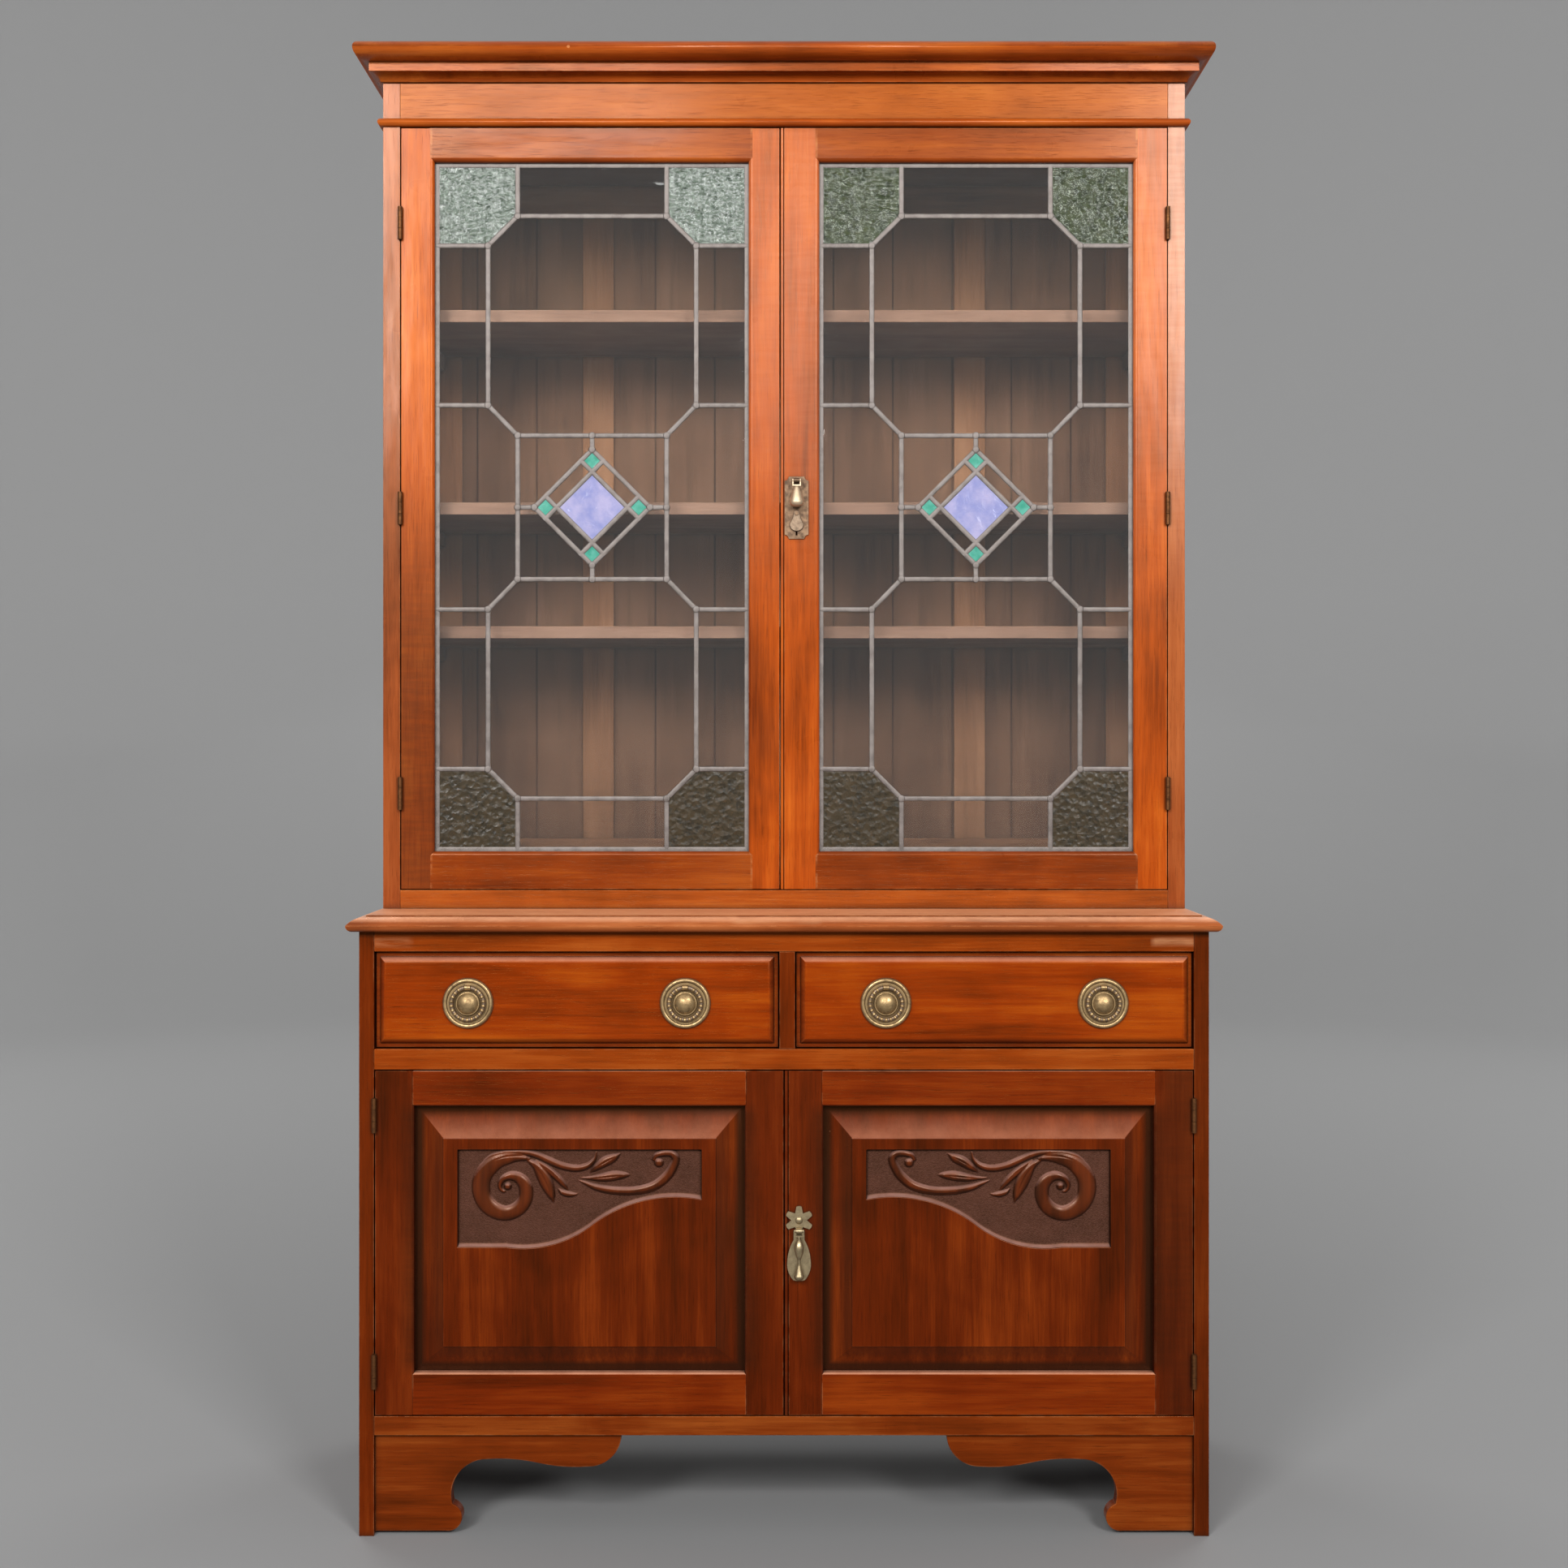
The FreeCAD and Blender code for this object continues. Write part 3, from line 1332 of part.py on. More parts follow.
def drawer_front(word, tails):
    left, right = drawer_span(word)
    left, right = left + size.door_gap, right - size.door_gap
    low = drawer_level + size.door_gap
    high = top_rail_level - size.door_gap
    plan = moulded_edge(left, 1) + reversed_run(moulded_edge(right, -1))
    side = moulded_edge(low, 1) + reversed_run(moulded_edge(high, -1))
    across = upright("front_plan", plan, low, high)
    along = crossways("front_side", [(y, z, *[-turn for turn in bend]) for z, y, *bend in side], left, right)
    node("drawer_{}_front".format(word), cut(common(across, along), tails[0] + tails[1]))


def drawer_box(word, tails):
    left, right = drawer_box_span(word)
    near = base_front + size.door_thickness
    far = back - size.back_thickness - size.drawer_back_clearance
    low = drawer_level + size.drawer_lift
    high = low + size.drawer_side_height
    wall = size.drawer_side_thickness
    floor_low = low + size.drawer_bottom_raise
    floor_high = floor_low + size.drawer_bottom_thickness
    tongue = size.drawer_bottom_tongue
    floor = box(left + wall - tongue, right - wall + tongue, near, far - wall / 2, floor_low, floor_high)
    members = [cut(fuse([box(left, left + wall, near, far, low, high)] + tails[0]), [floor]),
               cut(fuse([box(right - wall, right, near, far, low, high)] + tails[1]), [floor]),
               cut(box(left + wall, right - wall, far - wall, far, low, high), [floor]),
               floor]
    node("drawer_{}_box".format(word), group(members))


def pull_centres(word):
    left, right = drawer_span(word)
    middle = (left + right) / 2
    level = (drawer_level + top_rail_level) / 2 - size.pull_drop
    return [(middle - size.pull_spacing_half, level), (middle + size.pull_spacing_half, level)]


def revolved(name, corners, angle=360):
    """A turned piece about the vertical axis of its own outline (radius, height)."""
    body = new_body(name)
    sketch = outline(new_sketch(body, "XZ_Plane"), corners)
    feature = body.newObject("PartDesign::Revolution", "turning")
    feature.Profile = sketch
    feature.ReferenceAxis = (sketch, ["V_Axis"])
    feature.Angle = angle
    return body


def ring_axis_offset():
    """Ring's middle line in front of the drawer's face."""
    return size.pull_plate_thickness + size.ring_gap + size.ring_wire


def lug(x, plane, pivot_y, z):
    """A small eye on a plate; a handle's pivot turns in its bore."""
    half = size.lug_width / 2
    radius = size.pivot_radius + size.pivot_clearance + size.lug_wall
    bore = size.pivot_radius + size.pivot_clearance
    start = x - half
    eye = cylinder(radius, size.lug_width, start, pivot_y, z, (1, 0, 0))
    neck = box(start, x + half, pivot_y, plane, z - radius, z + radius)
    return cut(fuse([eye, neck]), [cylinder(bore, size.lug_width + 2, start - 1, pivot_y, z, (1, 0, 0))])


def pull_plate(x, z):
    """A turned plate with a rim, a stepped boss and a dome, and the lug of its ring."""
    plate_y = base_front - size.pull_plate_thickness
    flat = size.pull_plate_thickness
    rim = size.pull_rim_radius
    edge = size.pull_plate_radius
    step = flat + size.pull_boss_height
    inner = size.pull_boss_radius
    dome = size.pull_dome_radius
    cap = math.tan(math.atan2(size.pull_dome_height.value, dome.value) / 2)
    profile = [
        (0, 0),
        (edge, 0),
        (edge, flat, 0.5),
        (edge - 2 * rim, flat, 0.8),
        (inner, flat),
        (inner, step),
        ((inner + dome) / 2, step + 1),
        (dome, step + 1),
        (0, step + 1 + size.pull_dome_height, cap),
    ]
    body = revolved("pull_plate", profile)
    body.Placement = FreeCAD.Placement(FreeCAD.Vector(), FreeCAD.Rotation(FreeCAD.Vector(1, 0, 0), 90))
    place(body, x, base_front, z)
    return fuse([body, lug(x, plate_y, base_front - ring_axis_offset(), z + size.ring_radius)])


def ring_bail(x, z):
    """A wire ring whose top is a thinner straight pivot in the lug."""
    body = new_body("ring_bail")
    gap = size.lug_width / 2 + size.lug_side_gap
    turn = math.degrees(math.asin(gap.value / size.ring_radius.value))
    section = new_sketch(body, "XZ_Plane")
    circle_at(section, size.ring_radius, 0, size.ring_wire)
    ring = body.newObject("PartDesign::Revolution", "ring")
    ring.Profile = section
    ring.ReferenceAxis = (section, ["V_Axis"])
    ring.Angle = 360 - 2 * turn
    upright_turn = FreeCAD.Rotation(FreeCAD.Vector(1, 0, 0), 90)
    start = FreeCAD.Rotation(FreeCAD.Vector(0, 1, 0), -90 - turn)
    body.Placement = FreeCAD.Placement(FreeCAD.Vector(), start.multiply(upright_turn))
    y = base_front - ring_axis_offset()
    place(body, x, y, z)
    reach = gap + 1
    pivot = cylinder(size.pivot_radius, 2 * reach, x - reach, y, z + size.ring_radius, (1, 0, 0))
    return fuse([body, pivot])


def circle_at(sketch, u, v, radius):
    u, v, radius = as_size(u), as_size(v), as_size(radius)
    centre = FreeCAD.Vector(u.value, v.value, 0)
    element = sketch.addGeometry(Part.Circle(centre, FreeCAD.Vector(0, 0, 1), radius.value), False)
    fix(sketch, "DistanceX", element, 3, u)
    fix(sketch, "DistanceY", element, 3, v)
    index = sketch.addConstraint(Sketcher.Constraint("Radius", element, radius.value))
    if "Sizes." in radius.formula:
        sketch.setExpression("Constraints[{}]".format(index), radius.formula)


def drawer(word):
    tails = drawer_tails(word)
    drawer_front(word, tails)
    drawer_box(word, tails)
    centres = pull_centres(word)
    node("drawer_{}_pull_plates".format(word), group([pull_plate(x, z) for x, z in centres]))
    for (x, z), end in zip(centres, ("outer", "inner") if word == "left" else ("inner", "outer")):
        node("drawer_{}_{}_ring".format(word, end), ring_bail(x, z))


# --------------------------------------------------------------- door handles

def hanging_pivot(x, y, z):
    """The thin cross pin at the head of a drop, with a cheek each side of the lug."""
    gap = size.lug_width / 2 + size.lug_side_gap
    cheek = size.cheek_thickness
    radius = size.pivot_radius + size.cheek_wall
    thin = size.cheek_thickness
    pin = cylinder(size.pivot_radius, 2 * (gap + cheek), x - gap - cheek, y, z, (1, 0, 0))
    cheeks = [cylinder(radius, cheek, x - gap - cheek, y, z, (1, 0, 0)),
              cylinder(radius, cheek, x + gap, y, z, (1, 0, 0))]
    foot = z - size.pivot_radius - size.lug_wall - size.cheek_reach
    base = foot - size.cheek_bridge
    arms = [box(x - gap - cheek, x - gap, y - thin, y + thin, foot, z),
            box(x + gap, x + gap + cheek, y - thin, y + thin, foot, z),
            box(x - gap - cheek, x + gap + cheek, y - thin, y + thin, base, foot)]
    return fuse([pin] + cheeks + arms), base


def keyhole_level():
    return size.upper_handle_level - size.keyhole_drop + size.keyhole_radius


def keyhole_recess():
    """The way for the key in the right upper door, behind the plate."""
    x = size.upper_handle_offset
    level = keyhole_level()
    slot = size.keyhole_slot_width / 2
    far = case_front + size.keyhole_depth
    return [
        cylinder(size.keyhole_radius, size.keyhole_depth, x, far, level, (0, -1, 0)),
        box(x - slot, x + slot, case_front, far, level - size.keyhole_slot_length, level),
    ]


def upper_handle():
    x = size.upper_handle_offset
    z = size.upper_handle_level
    half = size.upper_plate_width / 2
    tall = size.upper_plate_height / 2
    thick = size.handle_plate_thickness
    plate_front = case_front - thick
    body = new_body("upper_plate")
    pad(body, outline(new_sketch(body, "XZ_Plane"), notched_plate(x, z, half, tall)), thick)
    hole = new_sketch(body, "XZ_Plane")
    slot = size.keyhole_slot_width / 2
    key = keyhole_level()
    circle_at(hole, x, key, size.keyhole_radius)
    pocket(body, hole, thick, backwards=True)
    slit = outline(new_sketch(body, "XZ_Plane"),
                   rectangle(x - slot, x + slot, key - size.keyhole_slot_length, key))
    pocket(body, slit, thick, backwards=True)
    place(body, y=case_front)
    pivot_z = z + size.upper_drop_pivot
    drop_y = plate_front - size.ring_gap - size.upper_drop_radius
    pin_z = z - size.cover_pivot_drop
    cover_pin = cylinder(size.cover_pivot_radius, size.cover_thickness + 1.5, x,
                         plate_front, pin_z, (0, -1, 0))
    head = cylinder(size.cover_pivot_radius + 1, 1, x, plate_front - size.cover_thickness - 1,
                    pin_z, (0, -1, 0))
    node("upper_handle_plate", fuse([body, lug(x, plate_front, drop_y, pivot_z), cover_pin, head]))
    bulb = size.upper_drop_radius
    corners = [
        (size.upper_drop_foot, 0),
        (bulb, size.upper_drop_belly, 0.35),
        (size.upper_drop_taper, size.upper_drop_length - size.upper_drop_shoulder, 0.04),
    ]
    foot = pivot_z - size.upper_drop_length
    node("upper_handle_drop", drop("upper_drop", x, drop_y, pivot_z, foot, corners))
    node("key_cover", key_cover(x, plate_front, pin_z))


def drop(name, x, y, pivot, foot, corners):
    """A turned drop under its pivot; corners run from the foot's edge to the neck."""
    yoke, head = hanging_pivot(x, y, pivot)
    body = revolved(name, [(0, 0)] + corners + [(size.drop_neck, head - foot), (0, head - foot)])
    place(body, x, y, foot)
    return fuse([yoke, body])


def notched_plate(x, z, half, tall):
    """A plate's outline with a hollow at each corner."""
    notch = size.upper_plate_notch
    return [
        (x - half, z - tall + notch),
        (x - half + notch, z - tall, -QUARTER),
        (x + half - notch, z - tall),
        (x + half, z - tall + notch, -QUARTER),
        (x + half, z + tall - notch),
        (x + half - notch, z + tall, -QUARTER),
        (x - half + notch, z + tall),
        (x - half, z + tall - notch, -QUARTER),
    ]


def key_cover(x, plane, pin_z):
    """A pear-shaped cover that swings aside on its pin."""
    near = plane - size.ring_gap / 2
    head = size.cover_head_radius
    bulb = size.cover_bulb_radius
    body = new_body("cover")
    middle = pin_z - size.cover_length
    pad(body, outline(new_sketch(body, "XZ_Plane"), [
        (x - head, pin_z, 1),
        (x - bulb, middle, -0.08),
        (x + bulb, middle, 1),
        (x + head, pin_z, -0.08),
    ]), size.cover_thickness - 0.3)
    place(body, y=near)
    bore = cylinder(size.cover_pivot_radius + size.pivot_clearance, size.cover_thickness + 2, x,
                    near + 1, pin_z, (0, -1, 0))
    return cut(body, [bore])


def star_corners(x, z):
    """A star with six blunt points."""
    corners = []
    for number in range(6):
        point = math.radians(90 + 60 * number)
        hollow = math.radians(120 + 60 * number)
        across = size.lower_star_point * math.sin(point)
        along = size.lower_star_point * math.cos(point)
        tip_x = x + size.lower_star_radius * math.cos(point)
        tip_z = z + size.lower_star_radius * math.sin(point)
        corners.append((tip_x + across, tip_z - along))
        corners.append((tip_x - across, tip_z + along, 0.25))
        corners.append((x + size.lower_star_waist * math.cos(hollow),
                        z + size.lower_star_waist * math.sin(hollow)))
    return corners


def lower_handle():
    x = size.lower_handle_offset
    z = size.lower_star_level
    star = new_body("star")
    pad(star, outline(new_sketch(star, "XZ_Plane"), star_corners(x, z)), size.lower_star_thickness)
    place(star, y=base_front)
    half = size.lower_plate_radius
    cap = math.tan(math.atan2(size.lower_boss_height.value, size.lower_boss_radius.value) / 2)
    boss_rise = size.lower_star_thickness + size.lower_boss_height
    boss = revolved("boss", [(0, 0), (size.lower_boss_radius, 0),
                             (size.lower_boss_radius, size.lower_star_thickness), (0, boss_rise, cap)])
    boss.Placement = FreeCAD.Placement(FreeCAD.Vector(), FreeCAD.Rotation(FreeCAD.Vector(1, 0, 0), 90))
    place(boss, x, base_front, z)
    low = z - size.lower_plate_bottom
    widest = low + size.lower_plate_belly
    foot_half = size.lower_plate_foot
    shoulder = z - size.lower_plate_shoulder
    neck = size.lower_plate_neck
    pear = new_body("pear")
    pad(pear, outline(new_sketch(pear, "XZ_Plane"), [
        (x - neck, shoulder + size.lower_plate_neck_height),
        (x - neck, shoulder),
        (x - half, widest, 0.12),
        (x - foot_half, low, 0.22),
        (x + foot_half, low, 0.12),
        (x + half, widest, 0.22),
        (x + neck, shoulder, 0.12),
        (x + neck, shoulder + size.lower_plate_neck_height),
    ]), size.handle_plate_thickness)
    place(pear, y=base_front)
    pivot_z = z - size.lower_drop_pivot
    foot = pivot_z - size.lower_drop_length
    lower = size.lower_drop_lower_bulb
    upper = size.lower_drop_upper_bulb
    neck = size.drop_neck
    drop_y = base_front - size.handle_plate_thickness - size.ring_gap - lower
    eye = lug(x, base_front - size.handle_plate_thickness, drop_y, pivot_z)
    node("lower_handle_plate", fuse([star, boss, pear, eye]))
    corners = [
        (size.lower_drop_foot, 0),
        (lower, size.lower_drop_belly, 0.3),
        (neck, size.lower_drop_bulb_end, -0.05),
        (neck, size.lower_drop_waist_end),
        (upper, size.lower_drop_swell, 0.1),
        (neck, size.lower_drop_length - size.lower_drop_shoulder, 0.2),
    ]
    node("lower_handle_drop", drop("lower_drop", x, drop_y, pivot_z, foot, corners))


# ----------------------------------------------------------------- whole piece

def build():
    base_sides()
    worktop()
    base_rails()
    drawer_divider()
    drawer_runners()
    base_bottom_board()
    cupboard_shelf()
    base_back()
    bracket_feet()
    upper_sides()
    upper_base_rail()
    upper_boards()
    frieze()
    frieze_bead()
    cornice()
    upper_back(back_panel_boxes())
    bookshelves()
    bookshelf_cleats()
    cupboard_cleats()
    hinges()
    for word in ("left", "right"):
        upper_door(word)
        lower_door(word)
        drawer(word)
    upper_handle()
    lower_handle()


def check():
    """Stop if any object failed, or a sub-part has no sound shape."""
    for thing in doc.Objects:
        if "Invalid" in thing.State or "Error" in thing.State:
            raise RuntimeError("{} {} failed: {}".format(thing.Name, thing.Label, thing.State))
    for thing in nodes:
        if thing.Shape.isNull() or not thing.Shape.isValid() or not thing.Shape.Solids:
            raise RuntimeError("{} has no sound shape".format(thing.Label))


def export():
    os.makedirs("parts", exist_ok=True)
    for thing in nodes:
        thing.Shape.exportStep(os.path.join("parts", thing.Label + ".step"))
        print(thing.Label, len(thing.Shape.Solids), "solids", round(thing.Shape.Volume / 1000, 2), "cm3")


build()
doc.recompute()
check()
export()
print(len(nodes), "sub-parts")
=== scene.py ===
import math

import bpy
import numpy as np
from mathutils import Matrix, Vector


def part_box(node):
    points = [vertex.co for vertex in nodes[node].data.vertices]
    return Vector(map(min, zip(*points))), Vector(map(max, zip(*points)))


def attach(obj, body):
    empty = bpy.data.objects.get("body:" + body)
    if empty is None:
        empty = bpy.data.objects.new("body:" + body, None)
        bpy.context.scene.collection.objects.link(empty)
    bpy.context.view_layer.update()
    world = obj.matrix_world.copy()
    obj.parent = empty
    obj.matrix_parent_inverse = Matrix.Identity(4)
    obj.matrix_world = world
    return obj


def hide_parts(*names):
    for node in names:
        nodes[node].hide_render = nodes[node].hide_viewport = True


# The looks of a two-height glazed bookcase with leaded doors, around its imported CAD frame.
# Lengths are in metres where no comment says millimetres. +Z is up and the front faces -Y.

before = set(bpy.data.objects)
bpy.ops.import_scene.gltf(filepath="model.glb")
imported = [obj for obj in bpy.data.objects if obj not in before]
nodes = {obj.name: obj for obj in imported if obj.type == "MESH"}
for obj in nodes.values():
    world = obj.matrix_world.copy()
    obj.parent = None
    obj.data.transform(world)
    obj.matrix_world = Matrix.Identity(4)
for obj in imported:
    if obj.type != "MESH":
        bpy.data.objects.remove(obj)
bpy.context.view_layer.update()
MM = 0.001

# Axes that a board's grain can follow; RUN follows the front and turns at the ends
ALONG_X, ALONG_Y, ALONG_Z, RUN = "X", "Y", "Z", "RUN"


# ---- material graphs

class Graph:
    """The node tree of one material."""

    def __init__(self, name):
        self.material = bpy.data.materials.new(name)
        self.material.use_nodes = True
        self.tree = self.material.node_tree
        self.tree.nodes.clear()

    def feed(self, node, key, value):
        """Sets an input to a value or an (r, g, b) colour, or links a node's output to it."""
        socket = node.inputs[key]
        if isinstance(value, bpy.types.NodeSocket):
            self.tree.links.new(value, socket)
        else:
            socket.default_value = (*value, 1.0) if socket.type == "RGBA" else value

    def node(self, kind, settings=None, **inputs):
        """A node with its settings and inputs; an input's name has _ for each space."""
        return self.indexed(kind, settings, {key.replace("_", " "): value
                                             for key, value in inputs.items()})

    def indexed(self, kind, settings, inputs):
        """A node with its settings and inputs by their exact name or number."""
        made = self.tree.nodes.new("ShaderNode" + kind)
        for key, value in (settings or {}).items():
            setattr(made, key, value)
        for key, value in inputs.items():
            self.feed(made, key, value)
        return made

    def math(self, operation, *values):
        return self.indexed("Math", {"operation": operation}, dict(enumerate(values))).outputs[0]

    def times(self, first, second):
        return self.math("MULTIPLY", first, second)

    def vector(self, operation, *values):
        made = self.indexed("VectorMath", {"operation": operation}, dict(enumerate(values)))
        return made.outputs["Value" if operation in ("DOT_PRODUCT", "LENGTH") else "Vector"]

    def mix(self, factor, first, second, way="MIX"):
        settings = {"data_type": "RGBA", "blend_type": way}
        return self.indexed("Mix", settings, {0: factor, 6: first, 7: second}).outputs[2]

    def mix_vectors(self, factor, first, second):
        settings = {"data_type": "VECTOR"}
        return self.indexed("Mix", settings, {0: factor, 4: first, 5: second}).outputs[1]

    def spread(self, value, low, high, start=0.0, end=1.0):
        """value moved from the range low..high to start..end, and kept in it."""
        return self.node("MapRange", Value=value, From_Min=low, From_Max=high, To_Min=start,
                         To_Max=end).outputs["Result"]

    def noise(self, place, scale, detail=3.0, roughness=0.55, distortion=0.0):
        return self.node("TexNoise", Vector=place, Scale=scale, Detail=detail,
                         Roughness=roughness, Distortion=distortion).outputs[0]

    def bump(self, height, distance, strength=1.0, normal=None):
        made = self.node("Bump", Height=height, Distance=distance, Strength=strength)
        if normal is not None:
            self.feed(made, "Normal", normal)
        return made.outputs["Normal"]

    def place(self):
        """Where the surface is, in the piece's own space."""
        return self.node("TexCoord").outputs["Object"]

    def facing(self):
        """Which way the surface faces, in the piece's own space."""
        return self.node("TexCoord").outputs["Normal"]

    def parts(self, vector):
        return self.node("SeparateXYZ", Vector=vector).outputs

    def openness(self, distance, samples=6):
        """How open the surroundings are within distance: 0 in a tight corner, 1 in the open."""
        return self.node("AmbientOcclusion", {"samples": samples}, Distance=distance).outputs["AO"]

    def finish(self, shader):
        output = self.node("OutputMaterial")
        self.tree.links.new(shader, output.inputs["Surface"])
        return self.material

    def surface(self, **inputs):
        """The material, with one principled shader."""
        return self.finish(self.node("BsdfPrincipled", **inputs).outputs[0])


# ---- wood

# Old varnish tints what the wood mirrors; it is redder on the base
VARNISH = (1.0, 0.46, 0.2)
RED_VARNISH = (1.0, 0.34, 0.07)

# Tints of the wood: bare wood at edges and chips, painted shade deep in grooves, painted
# shade and dirt in corners, painted shade on steep and downward slopes, and dark joints
EDGE_WOOD = (0.62, 0.3, 0.13)
GROOVE_SHADE = (0.012, 0.004, 0.002)
CORNER_SHADE_AND_DIRT = (0.012, 0.006, 0.004)
SLOPE_SHADE = (0.018, 0.006, 0.003)
JOINT_DARK = (0.02, 0.012, 0.008)


def squeezed(graph, place, grain, amount):
    """Coordinates drawn out along the grain, so that what they draw lies in long streaks."""
    def along(axis):
        factors = [amount if axis == letter else 1.0 for letter in "XYZ"]
        return graph.vector("MULTIPLY", place, factors)

    if grain != RUN:
        return along(grain)
    parts = graph.parts(graph.facing())
    returned = graph.math("GREATER_THAN", graph.math("ABSOLUTE", parts["X"]),
                          graph.math("ABSOLUTE", parts["Y"]))
    return graph.mix_vectors(returned, along(ALONG_X), along(ALONG_Y))


def wood(name, grain, tones, coat=0.08, sheen=0.3, gloss=0.38, figure=0.8, wear=0.5, grime=0.8,
         reach=0.012, groove=None, dust=None, boards=None, patches=(), varnish=VARNISH):
    """Polished timber: tones are its dark, middle and light colours.

    sheen is the polish's roughness, gloss its strength and varnish its tint. figure is the
    strength of the streaks, and wear that of the rubbed edges. grime paints shade and
    dirt into corners as far out as reach, and painted shade fills what lies deeper than groove.
    dust is for dust_and_top_light(), which paints light on faces that look up; boards
    is the width of the boards that the piece is jointed from, and patches come from patch().
    """
    graph = Graph(name)
    board = graph.node("NewGeometry").outputs["Random Per Island"]
    per_board = graph.node("CombineXYZ", X=board, Y=board, Z=board).outputs[0]
    place = graph.place()
    moved = graph.vector("ADD", place, graph.vector("MULTIPLY", [7.3, 5.1, 9.7], per_board))

    def along(amount, *look):
        return graph.noise(squeezed(graph, moved, grain, amount), *look)

    fibre = along(0.035, 330.0, 2.0)
    streak = along(0.06, 42.0, 4.0, 0.6, 0.4)
    wavy = along(0.16, 9.0, 3.0, 0.55, 1.4)
    cloud = graph.noise(moved, 4.2, 3.0, 0.6, 0.6)
    tone = 0.5
    for layer, share in ((streak, 0.9 * figure), (wavy, 1.1 * figure), (cloud, 0.8),
                         (fibre, 0.4), (board, 0.1)):
        tone = graph.math("MULTIPLY_ADD", graph.math("SUBTRACT", layer, 0.5), share, tone)
    dark, middle, light = tones
    shade = graph.mix(graph.spread(tone, 0.08, 0.5), dark, middle)
    shade = graph.mix(graph.spread(tone, 0.5, 0.95), shade, light)
    pores = graph.spread(along(0.03, 1150.0, 1.0), 0.62, 0.72)
    shade = graph.mix(graph.times(pores, 0.35), shade, dark, "MULTIPLY")

    if boards is not None:
        shade = graph.mix(board_joints(graph, place, boards), shade, JOINT_DARK)
    worn = graph.mix(0.45, light, EDGE_WOOD)
    shade = graph.mix(graph.times(edge_wear(graph, place), wear), shade, worn)
    shade = graph.mix(graph.times(nicks(graph, place), 0.75), shade, worn)
    for box, tint, strength in patches:
        mask = graph.times(patch_mask(graph, place, *box), strength)
        shade = graph.mix(mask, shade, tint)
    # Painted shade on forward faces that lie deep in a groove
    if groove is not None:
        deep_shade = graph.spread(graph.parts(place)["Y"], groove - 0.0025, groove - 0.0003, 0.0, 0.88)
        forward = graph.spread(graph.parts(graph.facing())["Y"], 0.5, 0.1)
        shade = graph.mix(graph.times(deep_shade, forward), shade, GROOVE_SHADE)
    # Dust with painted light on faces that look up, and painted shade on steep and downward ones
    if dust is not None:
        shade = dust_and_top_light(graph, place, shade, *dust)
    # Painted shade and dirt in corners, darkest where the surroundings are least open
    corner_shade = graph.spread(graph.openness(reach), 0.35, 0.92, 1.0, 0.0)
    shade = graph.mix(graph.times(corner_shade, grime), shade, graph.mix(0.75, dark, CORNER_SHADE_AND_DIRT))

    ripple = along(0.25, 26.0, 2.0)
    relief = graph.math("MULTIPLY_ADD", pores, -0.6, graph.times(fibre, 0.35))
    fine = graph.bump(relief, 0.00022, 0.6)
    uneven = graph.noise(moved, 11.0, 3.0)
    return graph.surface(Base_Color=shade, Coat_Weight=coat, Coat_Roughness=0.16,
                         Roughness=graph.spread(uneven, 0.3, 0.7, sheen - 0.05, sheen + 0.07),
                         Specular_IOR_Level=gloss, Specular_Tint=varnish,
                         Normal=graph.bump(ripple, 0.0016, 0.35, fine),
                         Coat_Normal=graph.bump(ripple, 0.0016, 0.35))


def dust_and_top_light(graph, place, shade, dust, low, high, shadow, cover=1.0):
    """shade under dust and a painted light on faces that look up, which start on slopes of low
    and are full at high.

    Steep and downward slopes get painted shade by shadow, and cover is the most that the dust
    and light hide.
    """
    parts = graph.parts(graph.facing())
    patchy = graph.noise(place, 30.0, 4.0, 0.65)
    uneven = graph.spread(patchy, 0.3, 0.7, 0.6 * cover, cover)
    # Painted light with dust on faces that look up; painted shade on those that look down or aside
    up = graph.times(graph.spread(parts["Z"], low, high), uneven)
    down = graph.spread(parts["Z"], -low, -high, 0.0, shadow)
    aside = graph.spread(graph.math("ABSOLUTE", parts["X"]), low, high, 0.0, shadow)
    aside = graph.times(aside, graph.math("SUBTRACT", 1.0, up))
    shade = graph.mix(graph.math("MAXIMUM", down, aside), shade, SLOPE_SHADE)
    return graph.mix(up, shade, dust)


def nicks(graph, place):
    """1 on a few small chips, where the bare wood shows."""
    cells = graph.node("TexVoronoi", Vector=place, Scale=13.0, Randomness=1.0)
    chance = graph.parts(cells.outputs["Color"])["X"]
    size = graph.spread(chance, 0.66, 1.0, 0.0, 0.034)
    return graph.math("LESS_THAN", cells.outputs["Distance"], size)


def board_joints(graph, place, width):
    """1 on the thin dark joints between upright boards."""
    whole_side = 10.0  # keeps what is divided above 0
    across = graph.math("ADD", graph.parts(place)["X"], whole_side)
    share = graph.math("FRACT", graph.math("DIVIDE", across, width))
    away = graph.math("ABSOLUTE", graph.math("SUBTRACT", share, 0.5))
    return graph.spread(away, 0.5 - 0.0022 / width, 0.5 - 0.0008 / width)


def edge_wear(graph, place):
    """1 on rubbed edges, where a rounded normal leaves the flat one."""
    round_normal = graph.node("Bevel", {"samples": 4}, Radius=0.0022).outputs["Normal"]
    flat_normal = graph.node("NewGeometry").outputs["Normal"]
    turn = graph.spread(graph.vector("DOT_PRODUCT", round_normal, flat_normal), 0.995, 0.9)
    rub = graph.spread(graph.noise(place, 38.0, 4.0, 0.65), 0.42, 0.62)
    return graph.times(turn, rub)


def patch(low, high, soft, broken, tint, strength):
    """A mark on the wood inside the box from low to high, for wood()."""
    return (low, high, soft, broken), tint, strength


